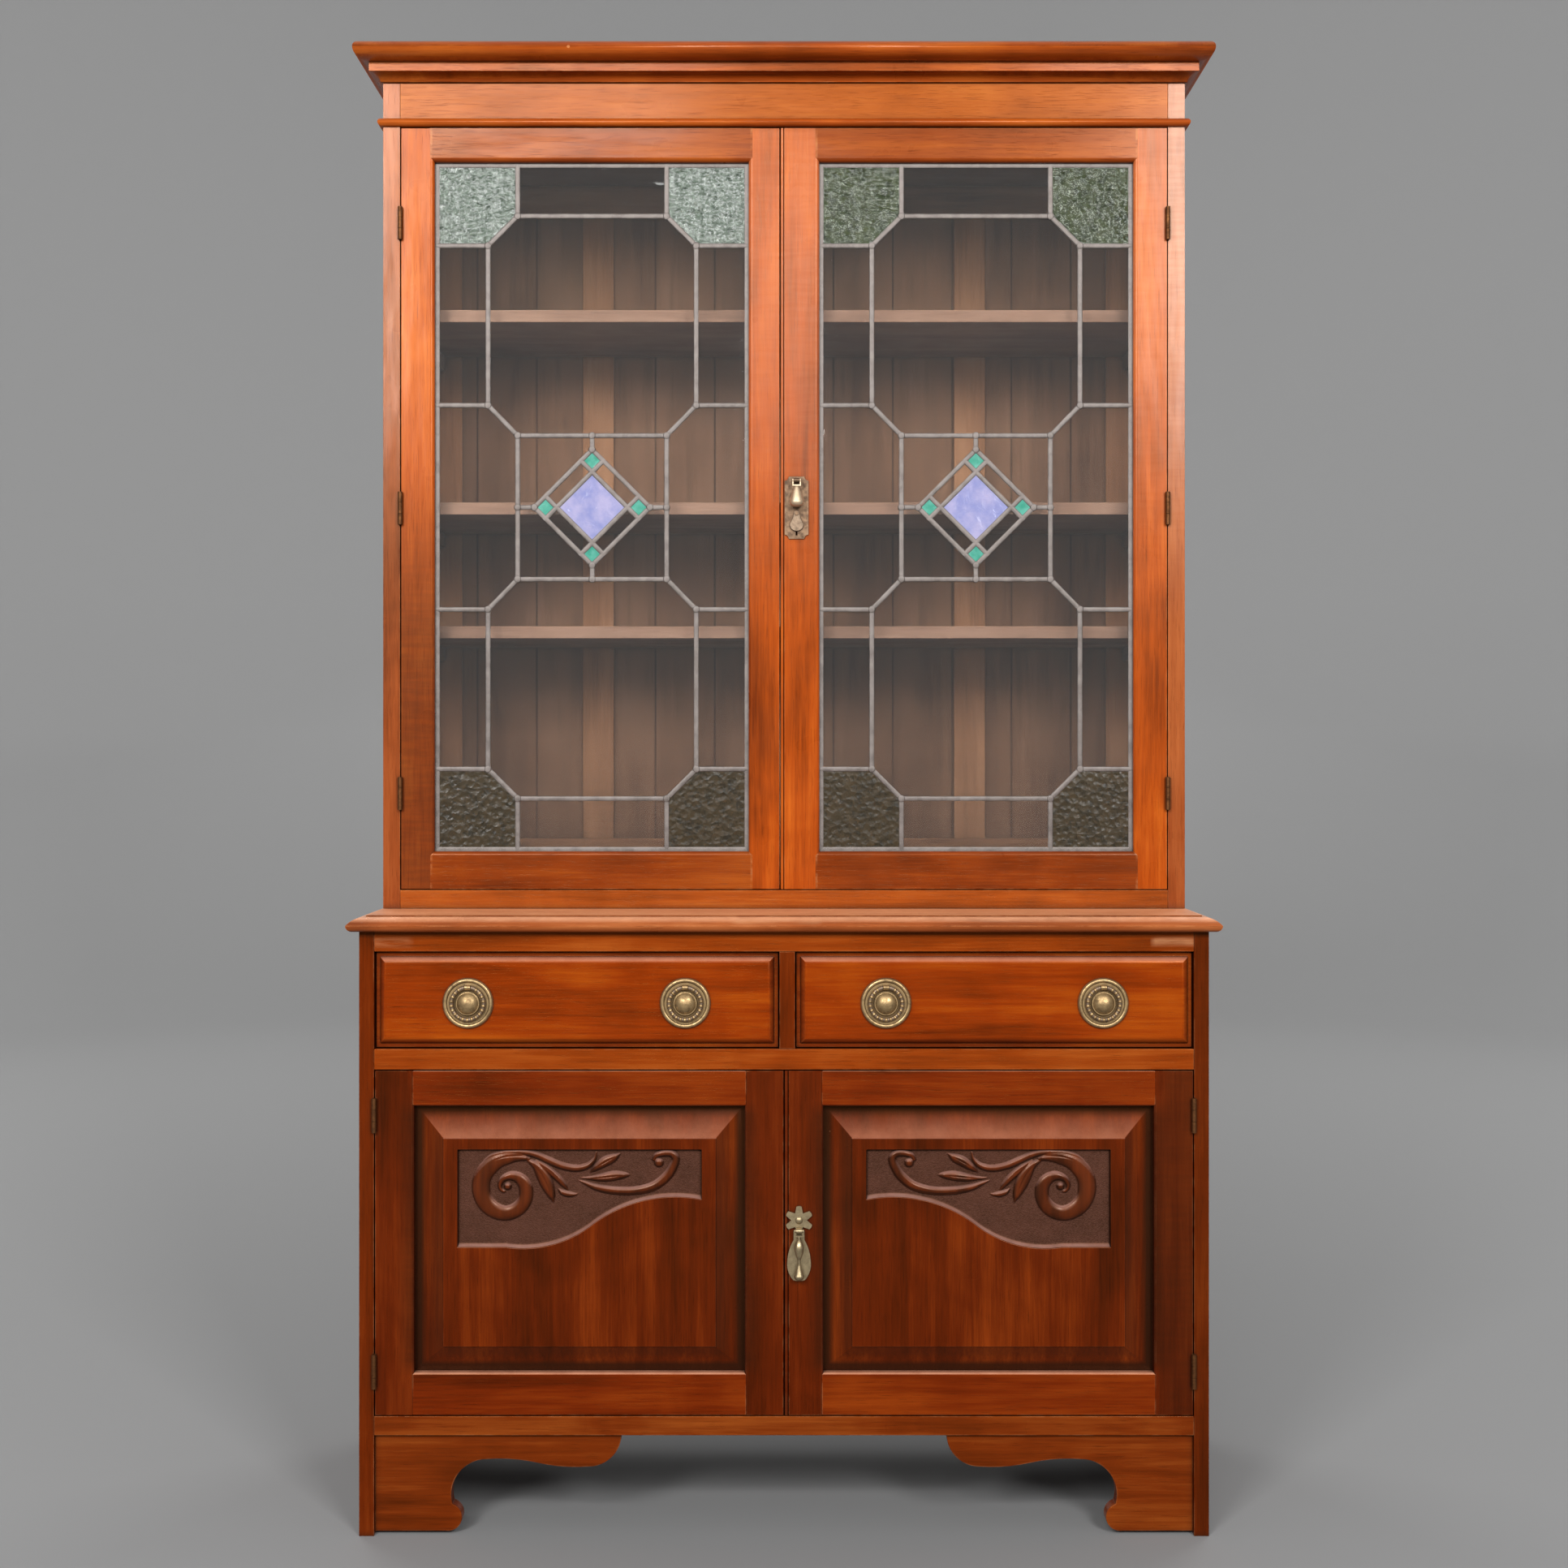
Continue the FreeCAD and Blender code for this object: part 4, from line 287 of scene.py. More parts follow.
def patch_mask(graph, place, low, high, soft, broken):
    """1 inside the box from low to high, with soft edges and broken by streaks."""
    parts = graph.parts(place)
    mask = 1.0
    for axis, start, end in zip("XYZ", low, high):
        value = parts[axis]
        mask = graph.times(graph.spread(value, start - soft, start + soft), mask)
        mask = graph.times(graph.spread(value, end + soft, end - soft), mask)
    streaks = graph.noise(squeezed(graph, place, ALONG_X, 0.12), 160.0, 3.0)
    return graph.times(mask, graph.mix(broken, (1, 1, 1), graph.spread(streaks, 0.35, 0.6)))


# Dark, middle and light tones of each kind of piece
UPPER = ((0.105, 0.014, 0.001), (0.32, 0.05, 0.003), (0.52, 0.115, 0.01))
UPPER_SIDE = ((0.08, 0.014, 0.003), (0.23, 0.046, 0.009), (0.36, 0.095, 0.024))
FRIEZE = ((0.12, 0.019, 0.002), (0.285, 0.06, 0.006), (0.43, 0.125, 0.018))
UPPER_RAIL = ((0.06, 0.008, 0.001), (0.18, 0.027, 0.002), (0.32, 0.068, 0.006))
UPPER_MOULDING = ((0.095, 0.014, 0.001), (0.28, 0.046, 0.004), (0.44, 0.1, 0.01))
UPPER_BASE = ((0.1, 0.018, 0.002), (0.28, 0.054, 0.006), (0.44, 0.12, 0.018))
TOP = ((0.105, 0.02, 0.005), (0.26, 0.06, 0.014), (0.4, 0.125, 0.038))
# The worktop's top face: tones lighter than TOP's, which paint the reflection that it shows
LIT_SURFACE = ((0.24, 0.07, 0.024), (0.48, 0.18, 0.072), (0.64, 0.29, 0.135))
CASE = ((0.035, 0.0045, 0.0005), (0.11, 0.013, 0.001), (0.2, 0.034, 0.004))
RAIL = ((0.07, 0.0095, 0.001), (0.205, 0.03, 0.002), (0.34, 0.078, 0.01))
BRACKET = ((0.05, 0.007, 0.0008), (0.14, 0.02, 0.002), (0.26, 0.058, 0.008))
DRAWER = ((0.065, 0.007, 0.0005), (0.205, 0.0235, 0.001), (0.335, 0.062, 0.003))
DOOR = ((0.024, 0.0028, 0.0005), (0.085, 0.0088, 0.001), (0.165, 0.024, 0.003))
DOOR_RAIL = ((0.036, 0.0036, 0.0005), (0.125, 0.0125, 0.001), (0.235, 0.036, 0.003))
PANEL = ((0.022, 0.0026, 0.0005), (0.085, 0.009, 0.001), (0.2, 0.03, 0.003))
INNER = ((0.03, 0.016, 0.01), (0.085, 0.045, 0.028), (0.15, 0.085, 0.052))
SHELF = ((0.05, 0.029, 0.021), (0.118, 0.071, 0.052), (0.18, 0.114, 0.084))
BACK = ((0.028, 0.015, 0.01), (0.083, 0.045, 0.028), (0.128, 0.074, 0.048))
MUNTIN = ((0.056, 0.026, 0.013), (0.15, 0.072, 0.037), (0.22, 0.118, 0.065))

# Dust and painted light on upward faces, as dust_and_top_light() takes them: colour, slopes
# where they start and are full, painted shade on steep and downward slopes, and cover
PANEL_DUST_AND_LIGHT = ((0.265, 0.092, 0.053), 0.08, 0.22, 0.45)
DOOR_DUST_AND_LIGHT = ((0.44, 0.2, 0.12), 0.3, 0.6, 0.3)
DRAWER_DUST_AND_LIGHT = ((0.4, 0.15, 0.085), 0.15, 0.5, 0.35)
TOP_DUST_AND_LIGHT = ((0.7, 0.33, 0.175), 0.75, 0.98, 0.0)
SURFACE_DUST_AND_LIGHT = TOP_DUST_AND_LIGHT + (0.45,)
CARVING_DUST_AND_LIGHT = ((0.235, 0.12, 0.094), 0.16, 0.72, 0.85)

# Where the base's front, its panels' groove and their recess lie in depth
BASE_FRONT = -0.2
PANEL_GROOVE = BASE_FRONT + 13.0 * MM
RECESS_FLOOR = BASE_FRONT + 9.0 * MM

# Marks: two repairs under the worktop, its worn edge, the upper doors darker low on the left, a
# painted sheen high up to the right, painted shade low on the back, and the right side darker
REPAIR = (0.56, 0.27, 0.125)
REPAIRS = [
    patch((-0.575, BASE_FRONT - 0.002, 0.826), (-0.522, BASE_FRONT + 0.004, 0.836),
          0.005, 0.9, REPAIR, 0.4),
    patch((0.516, BASE_FRONT - 0.002, 0.828), (0.575, BASE_FRONT + 0.004, 0.837),
          0.004, 0.7, REPAIR, 0.7),
]
TOP_WEAR = [patch(
    (-0.07, -0.222, 0.862), (0.05, -0.203, 0.871), 0.006, 0.9, (0.55, 0.33, 0.18), 0.45)]
LOW_LEFT_DARK = [patch(
    (-0.8, -0.2, 0.5), (-0.3, 0.1, 1.4), 0.12, 0.15, (0.05, 0.012, 0.005), 0.72)]
# Painted sheen high up on the upper doors and on the right side
UPPER_SHEEN = [patch((-0.2, -0.2, 1.52), (0.8, 0.3, 2.6), 0.26, 0.3, (0.62, 0.27, 0.15), 0.28)]
SIDE_SHEEN = [patch((0.2, -0.2, 1.55), (0.8, 0.3, 2.6), 0.26, 0.3, (0.64, 0.4, 0.29), 0.42)]
# Painted shade low on the back and on its frame
BACK_LOW_SHADE = [patch((-0.8, -0.2, 0.6), (0.8, 0.4, 1.06), 0.14, 0.3, (0.022, 0.01, 0.005), 0.6)]
RIGHT_SIDE_DARK = [patch((0.5, -0.3, 0.0), (0.7, 0.3, 0.9), 0.05, 0.2, (0.02, 0.004, 0.001), 0.3)]
STILE_DARK = (0.014, 0.004, 0.002)
# How far each lower panel's inner and outer edges stand from the bookcase's middle
PANEL_SIGHT = (0.0548, 0.5185)


def stile_darkening():
    """Painted shade along the stiles beside the lower panels, and a darker outer right stile."""
    near, far = BASE_FRONT - 0.02, BASE_FRONT + 0.02
    marks = []
    for middle in (way * edge for way in (-1, 1) for edge in PANEL_SIGHT):
        marks.append(patch((middle - 0.014, near, 0.235), (middle + 0.014, far, 0.6),
                           0.011, 0.2, STILE_DARK, 0.62))
    marks.append(patch((0.53, near, 0.1), (0.7, far, 0.8), 0.012, 0.2, STILE_DARK, 0.5))
    return marks


def dress_wood():
    """Gives each timber node its material; the grain follows each board's length."""
    made = {}

    def timber(key, grain, tones, **finish):
        """The material of a key and grain; once made, it is used again as it is."""
        if (key, grain) not in made:
            made[key, grain] = wood(f"wood_{key}_{grain.lower()}", grain, tones, **finish)
        return made[key, grain]

    def give(names, *kind, **finish):
        for name in names.split():
            paint(nodes[name], timber(*kind, **finish))

    def both(name, *kind, **finish):
        give("{} {}".format(name.format("left"), name.format("right")), *kind, **finish)

    low = {"coat": 0.04, "varnish": RED_VARNISH}
    matte = {"coat": 0.03, "sheen": 0.5, "gloss": 0.2, "wear": 0.3}
    give("upper_sides", "upper_side", ALONG_Z, UPPER_SIDE, coat=0.2, patches=SIDE_SHEEN)
    for part in ("stiles", "glazing_beads"):
        both("upper_door_{}_" + part, "upper", ALONG_Z, UPPER, coat=0.13, gloss=0.33,
             patches=LOW_LEFT_DARK + UPPER_SHEEN)
    both("upper_door_{}_rails", "upper_rail", ALONG_X, UPPER_RAIL, coat=0.14)
    give("frieze", "frieze", RUN, FRIEZE, figure=0.45)
    give("frieze_bead cornice", "moulding", RUN, UPPER_MOULDING)
    give("upper_base_rail", "upper_base", ALONG_X, UPPER_BASE)
    give("base_sides drawer_divider", "case", ALONG_Z, CASE, patches=RIGHT_SIDE_DARK, **low)
    give("bracket_feet", "bracket", ALONG_X, BRACKET, figure=1.0, wear=0.7, **low)
    both("drawer_{}_front", "drawer", ALONG_X, DRAWER, figure=1.0, reach=0.018, grime=0.9,
         dust=DRAWER_DUST_AND_LIGHT, **low)
    both("lower_door_{}_stiles", "door", ALONG_Z, DOOR, patches=stile_darkening(), **low)
    both("lower_door_{}_rails", "door_rail", ALONG_X, DOOR_RAIL, dust=DOOR_DUST_AND_LIGHT, **low)
    both("lower_door_{}_panel", "panel", ALONG_Z, PANEL, figure=0.85, wear=0.1, reach=0.02,
         grime=0.9, groove=PANEL_GROOVE, dust=PANEL_DUST_AND_LIGHT, **low)
    give("bookshelves", "shelf", ALONG_X, SHELF, **matte)
    give("upper_boards cupboard_shelf base_bottom_board base_back", "inner", ALONG_X, INNER,
         **matte)
    give("bookshelf_cleats cupboard_cleats drawer_runners", "inner", ALONG_Y, INNER, **matte)
    both("drawer_{}_box", "box", ALONG_Y, SHELF, **matte)
    give("upper_back_panels", "back", ALONG_Z, BACK, boards=0.096, patches=BACK_LOW_SHADE, **matte)

    # Nodes of two materials: front rails and the lowest one, the worktop's edge and its top, which
    # has lighter tones that paint its reflection, and the back frame's uprights and rails
    paint_faces(nodes["base_rails"], [timber("rail", ALONG_X, RAIL, patches=REPAIRS, **low),
                                      timber("bracket", ALONG_X, BRACKET)],
                lambda away: int(away.z < 0))
    low_top, high_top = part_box("worktop")
    paint_faces(nodes["worktop"],
                [timber("top", ALONG_X, TOP, wear=0.75, dust=TOP_DUST_AND_LIGHT, patches=TOP_WEAR),
                 timber("surface", ALONG_X, LIT_SURFACE, dust=SURFACE_DUST_AND_LIGHT, patches=TOP_WEAR,
                        coat=0.0, sheen=0.42, gloss=0.26)],
                lambda away: int(away.z > (high_top.z - low_top.z) / 2 - 0.1 * MM))
    low_panel, high_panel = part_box("upper_back_panels")
    low_frame, high_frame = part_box("upper_back_frame")
    middle = (low_frame.z + high_frame.z) / 2
    paint_faces(nodes["upper_back_frame"],
                [timber("muntin", grain, MUNTIN, patches=BACK_LOW_SHADE, **matte)
                 for grain in (ALONG_Z, ALONG_X)],
                lambda away: int(not low_panel.z < away.z + middle < high_panel.z))


# ---- other finishes

def brass(name, clean, tarnish, amount, rough):
    """Old brass: clean metal rubbed bright, with brown tarnish in the hollows."""
    graph = Graph(name)
    place = graph.place()
    cloud = graph.noise(place, 130.0, 4.0, 0.65)
    grain = graph.noise(place, 900.0, 2.0)
    sunk = graph.spread(graph.openness(0.004), 0.45, 0.9, 1.0, 0.0)
    dull = graph.times(graph.spread(cloud, 0.35, 0.7), amount)
    dull = graph.math("MAXIMUM", dull, graph.times(sunk, 0.9))
    return graph.surface(Base_Color=graph.mix(dull, clean, tarnish), Metallic=0.9,
                         Roughness=graph.spread(dull, 0.0, 1.0, rough, rough + 0.25),
                         Normal=graph.bump(graph.math("ADD", cloud, grain), 0.00025, 0.5))


def lead():
    """Old lead came: grey, with a pale bloom in specks."""
    graph = Graph("lead_came")
    place = graph.place()
    cloud = graph.noise(place, 60.0, 4.0, 0.6)
    grain = graph.noise(place, 700.0, 3.0)
    shade = graph.mix(graph.spread(cloud, 0.35, 0.65), (0.112, 0.094, 0.084),
                      (0.19, 0.164, 0.15))
    bloom = graph.times(graph.spread(grain, 0.5, 0.75), 0.3)
    shade = graph.mix(bloom, shade, (0.29, 0.262, 0.244))
    return graph.surface(Base_Color=shade, Metallic=0.55,
                         Roughness=graph.spread(cloud, 0.3, 0.7, 0.46, 0.6),
                         Normal=graph.bump(graph.math("ADD", cloud, grain), 0.0004, 0.5))


def glass(name, tint, waves, height, rough=0.02, body=0.0, dapple=None, flecks=None, gloss=0.5):
    """Old uneven glass that light passes through.

    waves draws its surface, height deep. body is the share that isn't clear, and dapple and
    flecks are each a second colour and the scale of its spots.
    """
    graph = Graph(name)
    place = graph.place()
    uneven = waves(graph, place)
    shade = tint
    if dapple is not None:
        spots = graph.spread(graph.noise(place, dapple[1], 3.0, 0.6), 0.35, 0.65)
        shade = graph.mix(spots, tint, dapple[0])
    if flecks is not None:
        spots = graph.spread(graph.noise(place, flecks[1], 4.0, 0.7, 0.6), 0.5, 0.62, 0.0, 0.8)
        shade = graph.mix(spots, shade, flecks[0])
    shader = graph.node("BsdfPrincipled", Base_Color=shade, Roughness=rough, IOR=1.5,
                        Transmission_Weight=1.0 - body, Specular_IOR_Level=gloss,
                        Normal=graph.bump(uneven, height))
    clear = graph.node("BsdfTransparent", Color=shade)
    shadow = graph.node("LightPath").outputs["Is Shadow Ray"]
    mixed = graph.indexed("MixShader", {}, {0: shadow, 1: shader.outputs[0], 2: clear.outputs[0]})
    return graph.finish(mixed.outputs[0])


def sheet_waves(graph, place):
    """Slow waves of drawn sheet glass."""
    return graph.noise(graph.vector("MULTIPLY", place, [1.0, 1.0, 2.2]), 9.0, 2.0, 0.5, 0.3)


def hammered(graph, place):
    """The crackled dimples of cathedral glass."""
    swirl = graph.node("TexNoise", Vector=place, Scale=90.0, Detail=2.0).outputs["Color"]
    turned = graph.vector("ADD", place, graph.vector("MULTIPLY", [0.006, 0.006, 0.006], swirl))
    cells = graph.node("TexVoronoi", {"feature": "SMOOTH_F1"}, Vector=turned, Scale=120.0,
                       Smoothness=0.35)
    fine = graph.noise(place, 300.0, 3.0)
    return graph.math("MULTIPLY_ADD", fine, 0.35, cells.outputs["Distance"])


def flashed(graph, place):
    """The streaky surface of opal glass."""
    return graph.noise(place, 70.0, 4.0, 0.6, 1.0)


# Brasses: clean and tarnished colour, how much is tarnished, and how rough the clean metal is
BRASSES = {
    "handle": ((0.46, 0.36, 0.21), (0.13, 0.095, 0.055), 0.7, 0.34),
    "pull": ((0.5, 0.34, 0.165), (0.12, 0.075, 0.036), 0.85, 0.36),
    "plate": ((0.2, 0.125, 0.075), (0.066, 0.04, 0.027), 0.85, 0.42),
    "cover": ((0.26, 0.185, 0.125), (0.095, 0.064, 0.044), 0.8, 0.42),
    "drop": ((0.64, 0.49, 0.33), (0.25, 0.17, 0.1), 0.35, 0.46),
    "hinge": ((0.15, 0.06, 0.02), (0.05, 0.018, 0.007), 0.8, 0.5),
}
# Jewels nearer to the middle of their light than this are its lilac diamond
DIAMOND_REACH = 40.0 * MM


def dress_other():
    """Gives the metal and glass nodes their materials, and returns the pulls' and the leads'."""
    metal = {word: brass("brass_" + word, *look) for word, look in BRASSES.items()}
    came = lead()
    clear = glass("glass_clear", (0.9, 0.9, 0.89), sheet_waves, 0.0005, body=0.01,
                  gloss=0.38)
    # The left door's green glass: a paler copy of the right door's bottle glass, its paleness a
    # painted reflection
    green = glass("glass_green_painted_reflection", (0.265, 0.33, 0.265), hammered, 0.0022, 0.2, 0.25,
                  ((0.33, 0.385, 0.33), 45.0), ((0.07, 0.11, 0.07), 130.0))
    bottle = glass("glass_bottle", (0.1, 0.14, 0.062), hammered, 0.0034, 0.14, 0.25,
                   ((0.17, 0.215, 0.105), 40.0), ((0.02, 0.035, 0.014), 120.0), 0.4)
    olive = glass("glass_olive", (0.085, 0.06, 0.021), hammered, 0.001, 0.34, 0.25,
                  ((0.12, 0.082, 0.03), 45.0), ((0.03, 0.025, 0.009), 120.0), 0.12)
    teal = glass("glass_teal", (0.07, 0.38, 0.28), flashed, 0.0006, 0.08, 0.55,
                 ((0.16, 0.5, 0.41), 90.0))
    lilac = glass("glass_lilac", (0.27, 0.29, 0.52), flashed, 0.0006, 0.1, 0.7,
                  ((0.42, 0.4, 0.58), 38.0))
    # The first word that a node's name holds gives its material
    finishes = (("hinge_leaves", metal["hinge"]), ("upper_handle_plate", metal["plate"]),
                ("upper_handle_drop", metal["drop"]), ("key_cover", metal["cover"]),
                ("_ring", metal["cover"]), ("pull_plates", metal["pull"]),
                ("handle", metal["handle"]), ("_leads", came), ("clear_panes", clear))
    for name, node in nodes.items():
        finish = next((material for word, material in finishes if word in name), None)
        if finish is not None:
            paint(node, finish)
        elif name.endswith("green_panes"):
            paint_faces(node, [bottle if "right" in name else green, olive],
                        lambda away: int(away.z < 0))
        elif name.endswith("jewels"):
            paint_faces(node, [lilac, teal], lambda away: int(away.length > DIAMOND_REACH))
    return metal["pull"], came


def paint(node, material):
    node.data.materials.clear()
    node.data.materials.append(material)
    for face in node.data.polygons:
        face.material_index = 0


def paint_faces(node, materials, number):
    """Gives each face the material that number() picks by its place from the node's middle."""
    low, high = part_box(node.name)
    centre = (low + high) / 2
    node.data.materials.clear()
    for material in materials:
        node.data.materials.append(material)
    for face in node.data.polygons:
        face.material_index = number(Vector(face.center) - centre)


# ---- rounded edges

WELD_GAP = 0.00001
FLAT_ANGLE = math.radians(0.6)
SHARP_ANGLE = math.radians(32.0)


def soften(node, width_mm):
    """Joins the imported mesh's split corners and rounds its edges."""
    mesh = node.data
    if "custom_normal" in mesh.attributes:
        mesh.attributes.remove(mesh.attributes["custom_normal"])
    mesh.polygons.foreach_set("use_smooth", [True] * len(mesh.polygons))
    weld = node.modifiers.new("weld", "WELD")
    weld.merge_threshold = WELD_GAP
    merge = node.modifiers.new("merge", "DECIMATE")
    merge.decimate_type = "DISSOLVE"
    merge.angle_limit = FLAT_ANGLE
    bevel = node.modifiers.new("edge", "BEVEL")
    bevel.width = width_mm * MM
    bevel.segments = 2
    bevel.limit_method = "ANGLE"
    bevel.angle_limit = SHARP_ANGLE
    bevel.miter_outer = "MITER_ARC"
    even = node.modifiers.new("even", "WEIGHTED_NORMAL")
    even.weight = 60
    even.keep_sharp = False


# Bevel widths in millimetres, for nodes whose name has the word; the first that fits counts
EDGES_MM = {
    "worktop": 1.2, "hinge_leaves": 0.25, "ring": 0.2, "pull_plates": 0.25,
    "handle": 0.35, "key_cover": 0.5, "jewels": 0.6, "cornice": 0.6, "frieze_bead": 0.5,
    "stiles": 1.0, "rails": 1.0, "_front": 0.7, "panel": 0.7,
}
OTHER_EDGES_MM = 0.8


def soften_all():
    for name, node in nodes.items():
        if not name.endswith(("panes", "leads")):
            widths = [width for word, width in EDGES_MM.items() if word in name]
            soften(node, (widths + [OTHER_EDGES_MM])[0])


# ---- added pieces

def smooth_object(name, vertices, faces):
    """A new smooth-shaded object in the scene."""
    mesh = bpy.data.meshes.new(name)
    mesh.from_pydata([tuple(vertex) for vertex in vertices], [], faces)
    mesh.validate()
    mesh.polygons.foreach_set("use_smooth", [True] * len(mesh.polygons))
    return linked(bpy.data.objects.new(name, mesh))


def linked(thing):
    bpy.context.scene.collection.objects.link(thing)
    return thing


def add_mesh(name, vertices, faces, material, body):
    """A piece in the row frame that rides on a CAD body."""
    piece = smooth_object(name, vertices, faces)
    piece.data.materials.append(material)
    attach(piece, body)
    return piece


# Carving on the lower panels, in millimetres. u runs from the recess's outer end, v down from
# its top. Its lower edge is straight at OUTER up to FLAT, then runs in two arcs, which meet at
# TURN, to INNER; BEND is how round they are.
RECESS_FROM_END = 68.4
RECESS_FROM_TOP = 69.0
RECESS_LENGTH = 342.0
RECESS_OUTER = 137.0
RECESS_INNER = 70.0
RECESS_FLAT = 68.0
RECESS_TURN = 191.3
RECESS_BEND = 0.21
# The carved sheet: its grid's step, the gap round and under it, how far its ground lies over
# the recess's floor, how far its lower edge coves up, and how high the carving stands
STEP = 1.0
SHEET_GAP = 0.05
GROUND_LIFT = 0.25
EDGE_COVE = 6.0
RELIEF = 5.7
# A stroke's height over its half width, up to RELIEF; where two meet, both sink a bit
STROKE_RISE = 1.15
MEETING_HEIGHT = 0.4
MEETING_SINK = 0.25
VEIN_DEPTH = 0.55
VEIN_OVER = 0.8

SPIRAL_CENTRE = (68.6, 53.2)
VOLUTE_STEP = 6.0
VOLUTE_SMOOTHING = 3
# Turn in degrees, radius and half width of the volute, from its outer end to its eye
VOLUTE = [(52, 50.0, 3.0), (70, 46.0, 7.5), (90, 41.5, 10.6), (130, 37.5, 12.4), (180, 36.4, 13.2),
          (225, 36.8, 12.2), (270, 37.0, 10.6), (315, 32.0, 10.4), (360, 26.4, 10.0),
          (405, 20.0, 7.6), (450, 14.6, 5.2), (495, 11.6, 4.0), (540, 9.6, 3.2), (600, 7.0, 2.4)]
# Each stroke: its points (u, v, half width)
STROKES = [
    [(24, 36, 0.8), (32.5, 22.5, 2.2), (46, 10.5, 3.2), (62, 5.2, 3.8), (80, 4.2, 4.2),
     (97, 4.8, 4.6), (112, 8.6, 5.0), (127, 15.6, 5.2), (146, 23.4, 5.2), (165, 26.8, 5.0),
     (181, 23.6, 4.4), (191, 14.6, 3.0), (194, 4.4, 1.6)],
    [(186, 32.0, 1.2), (194, 25.6, 4.6), (206, 17.6, 7.2), (217, 12.4, 6.2), (227, 6.6, 1.4)],
    [(172, 40.4, 1.0), (189, 40.6, 3.4), (205, 39.2, 6.2), (220, 37.2, 7.0), (233, 36.2, 4.4),
     (241, 36.4, 1.0)],
    [(168, 43.5, 0.8), (180, 48.0, 3.0), (196, 53.8, 5.0), (222, 58.2, 5.8), (250, 58.0, 6.0),
     (275, 51.6, 6.6), (292, 39.0, 7.0), (301, 26.0, 6.6), (305.6, 13.6, 5.8), (300.6, 6.4, 5.2),
     (289.6, 5.4, 5.0), (279.2, 8.2, 4.2), (274.8, 14.2, 3.0)],
    [(98, 15.5, 2.4), (110, 23, 6.0), (118, 35, 9.0), (124.5, 48, 9.4), (130, 61, 6.4),
     (134.4, 75, 0.8)],
    [(110, 17.0, 2.4), (124, 26, 4.6), (138, 38, 5.2), (148, 49, 4.0), (154, 57, 1.4)],
    [(140.6, 55.4, 1.0), (146.5, 60.4, 3.8), (155.5, 63.2, 4.2), (164, 63.6, 2.4),
     (168, 62.6, 0.8)],
]
# Balls: u, v and radius
BALLS = [(69.8, 51.8, 5.6), (282.0, 18.8, 6.8)]
# Hollows cut along the middle of a leaf or stem: its points (u, v, half width)
VEINS = [
    [(106, 21, 0.5), (116, 33, 1.5), (124, 48, 1.6), (130, 62, 0.5)],
    [(192, 26.5, 0.4), (207, 17.6, 1.3), (222, 9.6, 0.4)],
    [(186, 40.6, 0.4), (208, 38.8, 1.4), (232, 36.4, 0.4)],
    [(52, 14.5, 0.5), (66, 10.4, 1.2), (84, 9.0, 1.4), (100, 10.4, 1.2), (114, 16.0, 0.5)],
    [(116, 22.5, 0.4), (130, 31, 1.2), (145, 45, 0.4)],
    [(196, 57.0, 0.4), (224, 61.8, 1.2), (252, 61.6, 1.2), (279, 55.0, 1.2), (298, 41.0, 1.0),
     (308, 24, 0.4)],
]


def smooth_line(points, steps=10):
    """Points along a smooth line through the given ones (u, v, half width)."""
    ends = [points[0]] + list(points) + [points[-1]]
    line = []
    for first, start, end, last in zip(ends, ends[1:], ends[2:], ends[3:]):
        p0, p1, p2, p3 = (np.array(point, float) for point in (first, start, end, last))
        square = 2 * p0 - 5 * p1 + 4 * p2 - p3
        cube = 3 * p1 - p0 - 3 * p2 + p3
        for number in range(steps):
            part = number / steps
            line.append(0.5 * (2 * p1 + (p2 - p0) * part + square * part ** 2 + cube * part ** 3))
    line.append(np.array(points[-1], float))
    return np.array(line)


def recess_edge(u):
    """Lower edge of the recess at u: a straight end, then two arcs."""
    middle = (RECESS_OUTER + RECESS_INNER) / 2
    level = np.full_like(u, RECESS_OUTER)
    spans = ((RECESS_FLAT, RECESS_OUTER, RECESS_TURN, middle, 1),
             (RECESS_TURN, middle, RECESS_LENGTH, RECESS_INNER, -1))
    for u0, v0, u1, v1, way in spans:
        chord = math.hypot(u1 - u0, v1 - v0)
        sag = RECESS_BEND * chord / 2
        radius = (chord * chord / 4 + sag * sag) / (2 * sag)
        reach = (radius - sag) * way
        centre_u = (u0 + u1) / 2 + (v1 - v0) / chord * reach
        centre_v = (v0 + v1) / 2 - (u1 - u0) / chord * reach
        height = np.sqrt(np.maximum(radius ** 2 - (u - centre_u) ** 2, 0))
        level = np.where((u >= u0) & (u <= u1), centre_v + way * height, level)
    return level


def stroke_relief(u, v, line):
    """Height of a rounded stroke over the ground, on a grid."""
    best = np.zeros_like(u)
    for start, end in zip(line, line[1:]):
        run = end[:2] - start[:2]
        length = max(float(run @ run), 1e-9)
        part = np.clip(((u - start[0]) * run[0] + (v - start[1]) * run[1]) / length, 0, 1)
        away = np.hypot(u - start[0] - part * run[0], v - start[1] - part * run[1])
        wide = start[2] + part * (end[2] - start[2])
        rise = np.minimum(RELIEF, wide * STROKE_RISE)
        best = np.maximum(best, rise * np.sqrt(np.maximum(1 - (away / wide) ** 2, 0)))
    return best


